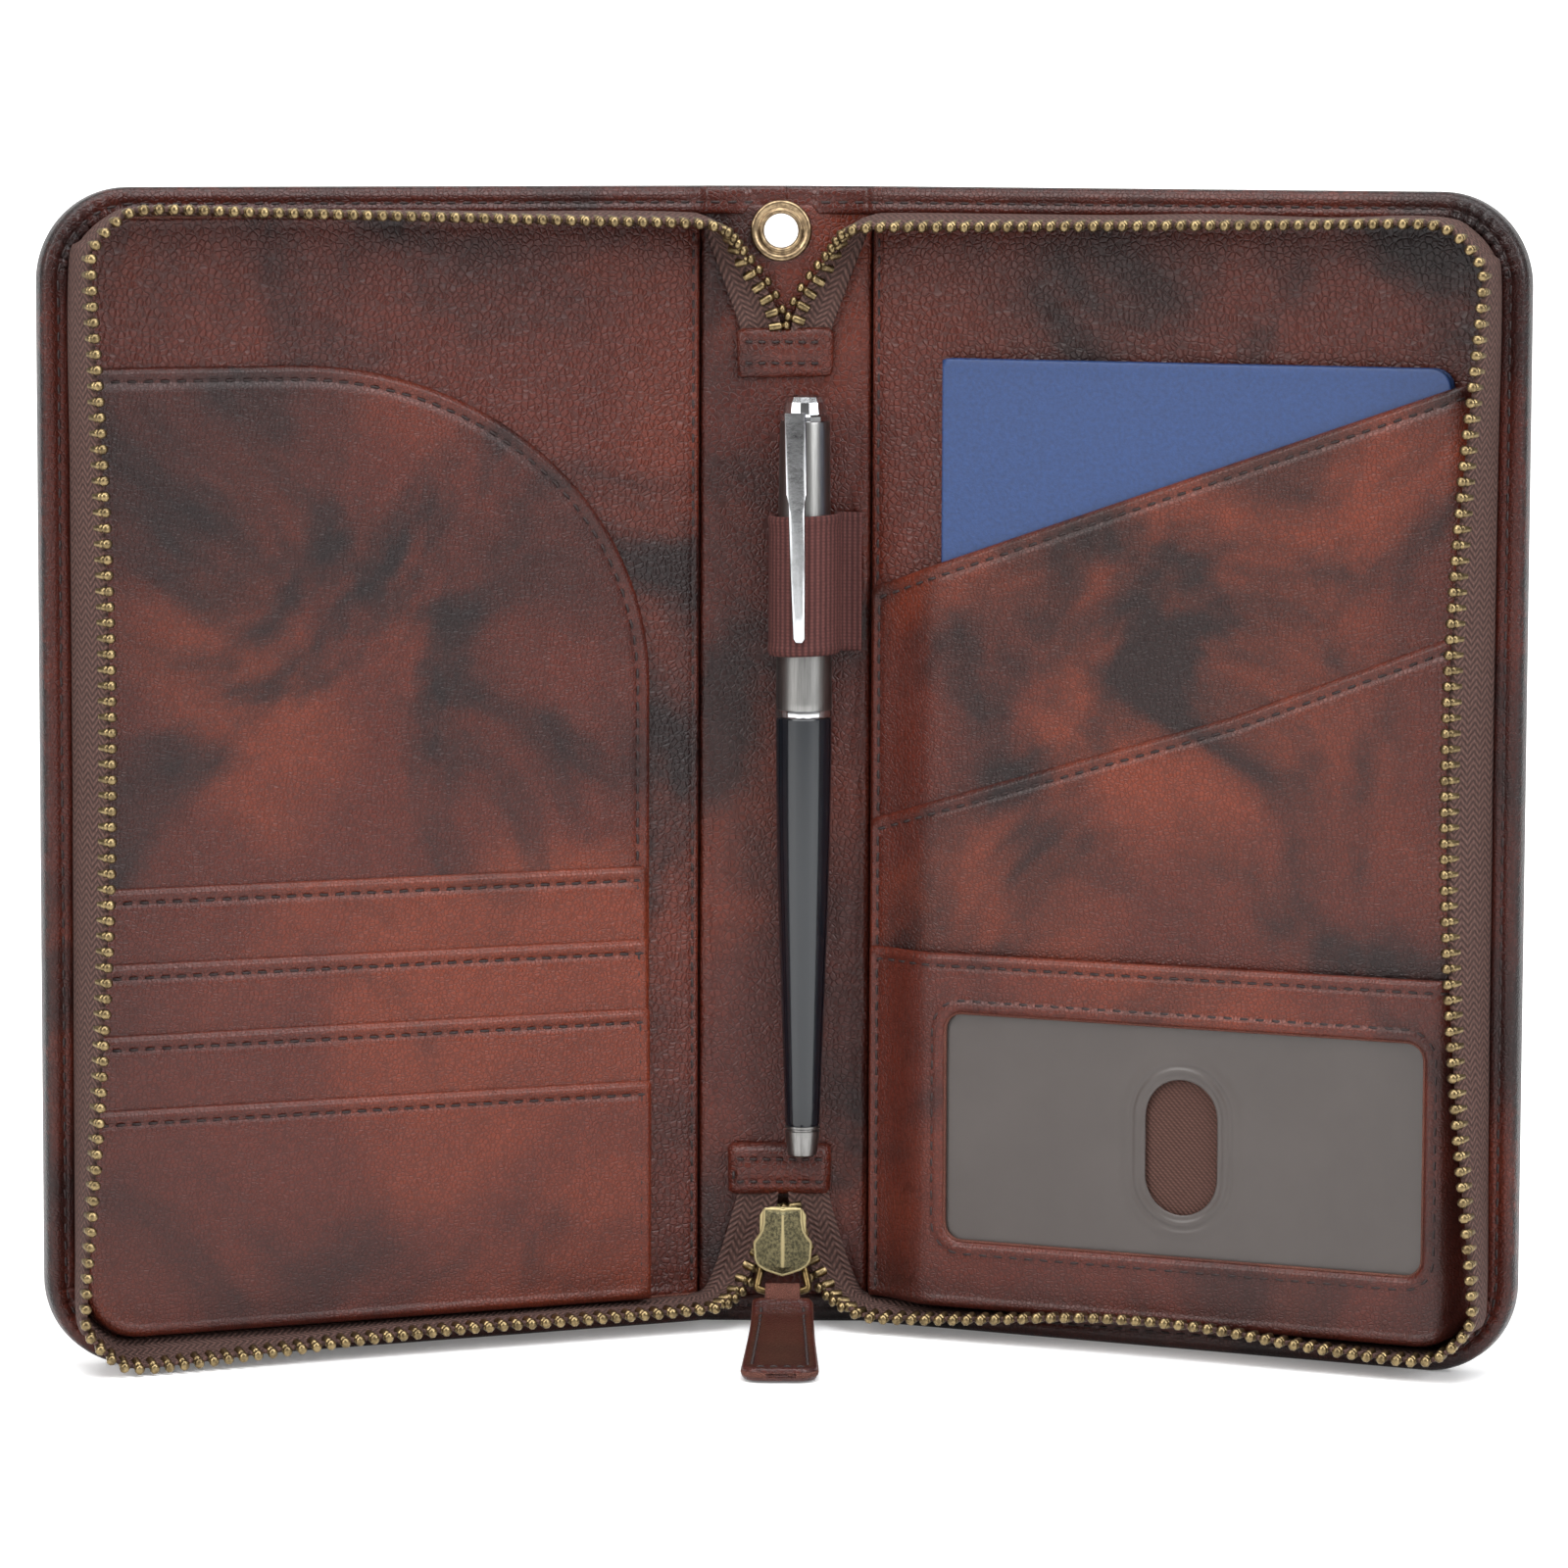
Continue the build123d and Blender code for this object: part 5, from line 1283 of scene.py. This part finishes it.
def zip_lines(sign, tips):
    foot, tip = [], []
    for pair in SPINE_LOW:
        for line, (x, depth, z) in zip((foot, tip), pair):
            line.append((sign * x, BACK_Y - depth, z))
    for u, v in tips:
        foot_u, foot_v = nearest_foot(u, v)
        foot.append(rigid(sign, foot_u, foot_v, FOOT_W))
        tip.append(rigid(sign, u, v, TIP_W - 1.2))
    for pair in SPINE_HIGH:
        for line, (x, depth, z) in zip((foot, tip), pair):
            line.append((sign * x, BACK_Y - depth, z))
    return curve_through(foot, 10), curve_through(tip, 10)


def even_pair(foot, tip, step):
    """Both lines sampled at even spacing along the tip line."""
    along = running_length(tip)
    wanted = np.arange(0, along[-1], step)
    sample = [np.stack([np.interp(wanted, along, line[:, k]) for k in range(3)], -1)
              for line in (foot, tip)]
    return sample[0], sample[1], wanted


def zip_tape(name, foot, tip, along, sign):
    """Woven tape between the two lines, with a slight outward belly and a thicker tip cord."""
    across = np.array([0.0, 0.12, 0.3, 0.5, 0.7, 0.82, 0.88, 0.94, 1.0])
    n, m = len(foot), len(across)
    middle = foot[:, None] + (tip - foot)[:, None] * across[None, :, None]
    run = np.gradient(tip, axis=0)
    normal = np.cross(run, tip - foot)
    normal /= np.linalg.norm(normal, axis=1, keepdims=True)
    belly = 0.7 + 0.5 * wave(np.column_stack([along, along * 0]), 22, 6.0 + sign)
    middle += normal[:, None] * (belly[:, None] * np.sin(across * math.pi)[None])[..., None] * sign
    half = np.array([0.22, 0.25, 0.25, 0.25, 0.27, 0.34, 0.42, 0.42, 0.30])
    width = np.linalg.norm(tip - foot, axis=1)
    uv = np.stack([np.repeat(along, m), (width[:, None] * across[None]).ravel()], -1)
    layers = [
        (middle + direction * normal[:, None] * half[None, :, None]).reshape(-1, 3)
        for direction in (1, -1)
    ]
    faces = two_sided(n, m)
    return new_object(name, np.vstack(layers) * MM, faces, np.vstack([uv, uv]))


# One tooth: (half length, half thickness, reach) of its rings from the tape out to its nose
TOOTH_RINGS = ((0.50, 0.55, -2.0), (0.70, 0.80, -1.85), (0.72, 0.84, -0.1), (0.60, 0.76, 0.15),
               (0.40, 0.46, 0.35), (0.56, 0.60, 0.5), (0.74, 0.80, 0.75), (0.80, 0.86, 1.0),
               (0.74, 0.80, 1.25), (0.52, 0.58, 1.48), (0.2, 0.24, 1.6))
TOOTH_PITCH = 2.5


def tooth(centre, run, out, thick):
    """Brass tooth clamped over the tape's edge, with a waist and a rounded nose."""
    corner = np.radians(np.arange(22.5, 360, 45))
    rings = []
    for half_run, half_thick, reach in TOOTH_RINGS:
        ring = centre + out * reach
        rings.append(ring + np.cos(corner)[:, None] * run * half_run * 1.08
                     + np.sin(corner)[:, None] * thick * half_thick * 1.08)
    return rings_to_mesh(rings)


for side, sign in SIDES:
    foot_line, tip_line = zip_lines(sign, tooth_line(**TOOTH_LINES[side]))
    foot, tip, along = even_pair(foot_line, tip_line, 0.8)
    nodes = [f"{side}_zip_tape"] + (["top_end_tape", "bottom_end_tape"] if side == "left" else [])
    tape = zip_tape(f"{side}_zip_band", foot, tip, along, sign)
    finish_piece(tape, tape_weave, f"{side}_turn", nodes)
    foot, tip, along = even_pair(foot_line, tip_line, TOOTH_PITCH)
    shift = 0.0 if side == "left" else 0.5
    run = np.gradient(tip, axis=0)
    run /= np.linalg.norm(run, axis=1, keepdims=True)
    out = tip - foot
    out -= run * (out * run).sum(1)[:, None]
    out /= np.linalg.norm(out, axis=1, keepdims=True)
    parts = []
    for k in range(1, len(tip) - 1):
        centre = tip[k] * (1 - shift) + tip[k + 1] * shift
        x, z = centre[0], centre[2]
        under_tab = abs(x) < 3 and (20.9 < z < 60 or 120 < z < 166.9)
        if under_tab:
            continue
        thick = np.cross(run[k], out[k])
        parts.append(tooth(centre * MM, run[k] * MM, out[k] * MM, thick * MM))
    points, faces = merge(parts)
    teeth = new_object(f"{side}_brass_teeth", points, faces)
    sharpen(teeth, 50)
    nodes = [f"{side}_zip_teeth"] + (["top_end_teeth", "bottom_end_teeth"] if side == "left"
                                     else [])
    finish_piece(teeth, tooth_brass, f"{side}_turn", nodes)

# ---------------------------------------------------------------- slider and its pull

def on_spine(s, v, w):
    """Flat on the spine: across, up, and depth from its back face."""
    s, v, w = np.broadcast_arrays(np.asarray(s, float), v, w)
    return np.stack([s, BACK_Y - w, v], -1) * MM


SLIDER_LOW = 9.9
SLIDER_HIGH = 20.0
plate_edge = [(-2.2, SLIDER_LOW), (2.2, SLIDER_LOW), (3.7, 10.6), (3.9, 12.0), (3.9, 18.6),
              (3.2, SLIDER_HIGH - 0.3), (2.2, SLIDER_HIGH), (-2.2, SLIDER_HIGH),
              (-3.2, SLIDER_HIGH - 0.3), (-3.9, 18.6), (-3.9, 12.0), (-3.7, 10.6)]
for name, low in (("slider_back_plate", 3.15), ("slider_front_plate", 6.25)):
    plate = outline_plate(name, plate_edge, on_spine, low, low + 0.65, edge=0.18)
    sharpen(plate, 40)
    finish_piece(plate, slider_brass, "slider",
                 ("slider_body",) if name == "slider_back_plate" else ())
wedge = outline_plate("slider_wedge", [(0, 12.6), (-1.1, 10.6), (-0.7, 9.4), (0.7, 9.4),
                                       (1.1, 10.6)], on_spine, 3.7, 6.4, edge=0.1)
finish_piece(wedge, slider_brass, "slider")
for sign in (-1, 1):
    flange = outline_plate("slider_flange_" + ("left" if sign < 0 else "right"),
                           [(sign * 3.3, 12.4), (sign * 3.9, 12.4), (sign * 3.9, 18.6),
                            (sign * 3.3, 18.2)], on_spine, 6.0, 6.4, edge=0.1)
    finish_piece(flange, slider_brass, "slider")
for place_name, z in (("low", 10.5), ("high", 14.3)):
    post = outline_plate(f"slider_bridge_{place_name}", [(-1.3, z - 0.55), (1.3, z - 0.55),
                                                         (1.3, z + 0.55), (-1.3, z + 0.55)],
                         on_spine, 6.7, 9.9, edge=0.15)
    finish_piece(post, slider_brass, "slider")

# Shield: bright raised border, speckled field and a middle ridge
SHIELD_LOW = 9.65
shield_right = [(0.0, 8.8), (1.5, 9.25), (3.0, 9.8), (4.2, 10.6), (4.75, 11.6), (4.95, 14.3),
                (4.85, 14.7), (4.2, 15.5), (3.6, 16.6), (3.35, 18.0), (3.3, 20.1), (3.0, 20.4),
                (0.5, 20.3), (0.0, 20.15)]
shield_edge = np.array(shield_right + [(-x, z) for x, z in shield_right[-2:0:-1]])


def shield():
    outline = counterclockwise(resample(shield_edge, 0.5, closed=True))
    normal = inward(outline, True)
    spine_line = np.column_stack([np.zeros(len(outline)), np.clip(outline[:, 1], 10.4, 19.2)])
    rings, wear = [], []
    rows = ((0.15, 0.0, 0, 0.3), (0.0, 0.15, 0, 0.4), (0.0, 0.48, 0, 0.9), (0.14, 0.62, 0, 1.0),
            (0.34, 0.60, 0, 0.8), (0.46, 0.56, 0, 0.05), (0.46, 0.68, 0.4, 0.0),
            (0.46, 0.84, 0.9, 0.0), (0.46, 0.90, 0.965, 0.9), (0.46, 0.92, 1.0, 1.0))
    for inset, rise, share, bright in rows:
        ring = outline + normal * inset
        ring = ring + (spine_line - ring) * share
        rings.append(on_spine(ring[:, 0], ring[:, 1], np.full(len(ring), SHIELD_LOW + rise)))
        wear += [bright] * len(ring)
    points, faces = rings_to_mesh(rings)
    return new_object("slider_shield", points, faces, wear=wear)


cap = shield()
sharpen(cap, 30)
finish_piece(cap, slider_brass, "slider", ("slider_cap",))

# Wire link: a rounded rectangle of brass wire hung in the bridge
LINK_PIVOT = (7.75, 12.4)
LINK_END = (10.4, 6.2)
LINK_HALF_TOP = 3.0
LINK_HALF = 4.5
LINK_WIRE = 0.62
link_run = np.array([LINK_END[0] - LINK_PIVOT[0], LINK_END[1] - LINK_PIVOT[1]])
link_length = float(np.linalg.norm(link_run))
link_run = link_run / link_length


def along_link(s, v, w):
    """Across the link, down it from the pivot, and out of its plane."""
    s, v, w = np.broadcast_arrays(np.asarray(s, float), v, w)
    depth = LINK_PIVOT[0] + link_run[0] * v - link_run[1] * w
    z = LINK_PIVOT[1] + link_run[1] * v + link_run[0] * w
    return np.stack([s, BACK_Y - depth, z], -1) * MM


link_route = resample(rounded_box(-1, 0, 1, link_length, 0.9, 8), 0.25, closed=True)
link_route[:, 0] *= np.interp(link_route[:, 1], (0, link_length), (LINK_HALF_TOP, LINK_HALF))
wire = [(LINK_WIRE * math.cos(a), LINK_WIRE * math.sin(a))
        for a in np.radians(np.arange(0, 360, 30))]
link = sweep("pull_wire_link", link_route, wire, closed_path=True, laid=along_link)
finish_piece(link, link_brass, "pull_link", ("pull_link",))

# Leather pull: two layers sewn together, folded round the link's lower bar. It bends down to
# the floor and lies along it.
PULL_ROUTE = curve_through([LINK_END, (13.9, 3.75), (19.0, 2.15), (36, 1.55), (58.0, 1.35)], 12)
pull_along = running_length(PULL_ROUTE)
pull_turns = np.gradient(PULL_ROUTE, axis=0)
pull_turns /= np.linalg.norm(pull_turns, axis=1, keepdims=True)
PULL_LENGTH = float(pull_along[-1])


def along_pull(s, v, w):
    """Across the pull, along it from the link's bar, and up from its middle plane."""
    s, v, w = np.broadcast_arrays(np.asarray(s, float), v, w)
    depth, z, go_depth, go_z = (
        np.interp(v, pull_along, column)
        for column in (*PULL_ROUTE.T, *pull_turns.T)
    )
    before = np.minimum(v, 0)
    depth = depth + go_depth * before - go_z * w
    z = z + go_z * before + go_depth * w
    return np.stack([s, BACK_Y - depth, z], -1) * MM


PULL_HEAD = 1.9
pull_edge = [(-4.9, PULL_HEAD + 0.3), (-4.5, PULL_HEAD), (4.5, PULL_HEAD), (5.0, PULL_HEAD + 0.5),
             (5.4, 20), (6.1, 42.0), (6.15, PULL_LENGTH - 3.2), (5.7, PULL_LENGTH - 1.5),
             (4.4, PULL_LENGTH - 0.3), (3.0, PULL_LENGTH), (-3.0, PULL_LENGTH),
             (-4.4, PULL_LENGTH - 0.3), (-5.7, PULL_LENGTH - 1.5), (-6.15, PULL_LENGTH - 3.2),
             (-6.1, 42.0), (-5.4, 20)]
pull_seams = [resample([(sign * 3.5, 4.2), (sign * 3.9, 20), (sign * 4.5, PULL_LENGTH - 4.0)], 1.0)
              for sign in (-1, 1)]
pull_seams.append(resample([(-4.2, PULL_LENGTH - 2.2), (4.2, PULL_LENGTH - 2.2)], 1.0))
top_layer = panel("pull_front_leather", pull_edge, 0.02, 1.05, seams=pull_seams, spacing=0.9,
                  roll=0.5, swell=0.10, bead=0.1, groove=0.22, laid=along_pull, seed=61.0)
finish_piece(top_layer, pull_leather, "pull_tab", ("pull_tab",))
lower_layer = panel("pull_back_leather", pull_edge, -0.02, 1.0, spacing=0.9, roll=0.5,
                    swell=0.03, bead=0, facing=-1, laid=along_pull, seed=62.0)
finish_piece(lower_layer, pull_leather, "pull_tab")
pull_rim = resample(counterclockwise(pull_edge), 0.5, closed=True)
raw_band = sweep("pull_raw_edge", pull_rim, [(0.35, -0.48), (-0.02, -0.42), (-0.14, 0.0),
                                             (-0.02, 0.42), (0.35, 0.48)],
                 closed_path=True, laid=along_pull)
finish_piece(raw_band, raw_leather, "pull_tab")
pull_thread = [np.column_stack([seam, np.full(len(seam), 1.0)]) for seam in pull_seams]
finish_piece(stitches("pull_stitches", pull_thread, length=1.4, pitch=2.1, radius=0.22,
                      laid=along_pull), thread, "pull_tab")


def pull_roll():
    """The rough folded top: a roll of leather round the bar, closed under the upper layer."""
    outer, inner = [], []
    for a in np.radians(np.arange(60, 301, 15)):
        outer.append((1.5 * math.cos(a), 1.5 * math.sin(a)))
        inner.append((0.72 * math.cos(a), 0.72 * math.sin(a)))
    section = [(3.4, 1.0)] + outer + [(3.4, -0.98), (3.4, -0.2)] + inner[::-1] + [(3.4, 0.2)]
    rings = []
    for s in np.linspace(-2.9, 2.9, 14):
        rough = 1 + 0.05 * math.sin(s * 3.1) + 0.04 * math.sin(s * 7.7)
        ring = np.array(section)
        rings.append(along_pull(np.full(len(ring), s), ring[:, 0], ring[:, 1] * rough))
    points, faces = rings_to_mesh(rings)
    return new_object("pull_folded_top", points, faces)


finish_piece(pull_roll(), raw_leather, "pull_tab")

# ---------------------------------------------------------------- carried-over CAD nodes

CARRIED = {
    "left_board": board_grey,
    "right_board": board_grey,
    "spine_stiffener": board_grey,
    "pen_nib": steel,
}
for obj in list(bpy.data.objects):
    base_name = obj.name.split(".")[0]
    for node, material in CARRIED.items():
        if base_name == node or base_name.startswith(node + "__"):
            for material_slot in obj.material_slots:
                material_slot.material = material

# ---------------------------------------------------------------- floor, light and camera

floor_material, floor_tree, floor_shader = nodes_for("studio_floor")
floor_shader.inputs["Base Color"].default_value = (0.9, 0.9, 0.9, 1)
floor_shader.inputs["Emission Color"].default_value = (1, 1, 1, 1)
floor_tree.links.new(scaled(floor_tree, wear_of(floor_tree), 0.55, 0.16),
                     floor_shader.inputs["Emission Strength"])
floor_shader.inputs["Roughness"].default_value = 0.6
floor_shader.inputs["Specular IOR Level"].default_value = 0.2
# The floor runs back flat and then curves up into the backdrop; these are in metres
FLOOR_FLAT = (-2.5, 0.0, 0.5, 1.2)
SWEEP_RADIUS = 0.8
sweep_angles = np.radians(np.arange(10, 91, 10))
depths = list(FLOOR_FLAT) + [1.2 + SWEEP_RADIUS * math.sin(a) for a in sweep_angles]
heights = [0.0] * 4 + [SWEEP_RADIUS - SWEEP_RADIUS * math.cos(a) for a in sweep_angles]
depths.append(2.0)
heights.append(4.0)
floor_points = [(x, y, z) for y, z in zip(depths, heights) for x in (-4.0, 4.0)]
floor_faces = [(2 * i, 2 * i + 1, 2 * i + 3, 2 * i + 2) for i in range(len(depths) - 1)]
far_glow = [float(ease(y / 1.2)) for y in depths for _ in range(2)]
floor = new_object("studio_sweep", floor_points, floor_faces, wear=far_glow)
floor.data.materials.append(floor_material)
floor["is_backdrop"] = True

world = bpy.data.worlds.new("studio")
bpy.context.scene.world = world
world.use_nodes = True
world_tree = world.node_tree
sky = world_tree.nodes["Background"]
direction = add(world_tree, "ShaderNodeSeparateXYZ",
                {0: add(world_tree, "ShaderNodeTexCoord").outputs["Generated"]})
upper = ramp(world_tree, direction.outputs[2], -0.1, 0.8)
world_tree.links.new(mix(world_tree, upper, (0.22, 0.21, 0.21), (1.0, 0.99, 0.98)),
                     sky.inputs["Color"])
sky.inputs["Strength"].default_value = 0.42


def softbox(name, place_at, aim, width, height, power, colour=(1, 1, 1)):
    light = bpy.data.lights.new(name, "AREA")
    light.shape = "RECTANGLE"
    light.size = width
    light.size_y = height
    light.energy = power
    light.color = colour
    obj = bpy.data.objects.new(name, light)
    obj.location = place_at
    obj.rotation_euler = (Vector(aim) - Vector(place_at)).to_track_quat("-Z", "Y").to_euler()
    bpy.context.scene.collection.objects.link(obj)


centre = (0, 0, HEIGHT / 2 * MM)
softbox("overhead", (0.0, -0.30, 0.95), centre, 1.1, 0.7, 13, (0.97, 0.985, 1.0))
softbox("left_bank", (-0.80, -0.74, 0.58), centre, 0.5, 0.6, 8.5, (1.0, 0.99, 0.98))
softbox("right_bank", (0.80, -0.74, 0.58), centre, 0.5, 0.6, 8.5, (0.96, 0.98, 1.0))

# Where the camera stands, in millimetres: beside the middle, before the spine, over the floor
CAMERA_LENS = 152.3
CAMERA_BESIDE, CAMERA_BEFORE, CAMERA_OVER = 10.1, 1102.4, 205.2
camera_data = bpy.data.cameras.new("camera")
camera_data.lens = CAMERA_LENS
camera_data.sensor_width = 36.0
camera_data.clip_start = 0.05
camera = bpy.data.objects.new("camera", camera_data)
PITCH, YAW, ROLL = math.radians(5.946), math.radians(-0.532), math.radians(0.195)
look = Vector((math.sin(YAW) * math.cos(PITCH), math.cos(YAW) * math.cos(PITCH),
               -math.sin(PITCH)))
across_view = look.cross(Vector((0, 0, 1))).normalized()
up_view = across_view.cross(look)
across_rolled = across_view * math.cos(ROLL) + up_view * math.sin(ROLL)
up_rolled = up_view * math.cos(ROLL) - across_view * math.sin(ROLL)
camera.matrix_world = Matrix((
    (across_rolled.x, up_rolled.x, -look.x, CAMERA_BESIDE * MM),
    (across_rolled.y, up_rolled.y, -look.y, (BACK_Y - CAMERA_BEFORE) * MM),
    (across_rolled.z, up_rolled.z, -look.z, CAMERA_OVER * MM),
    (0, 0, 0, 1),
))
bpy.context.scene.collection.objects.link(camera)
bpy.context.scene.camera = camera
bpy.context.scene.view_settings.view_transform = "Standard"

low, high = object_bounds()
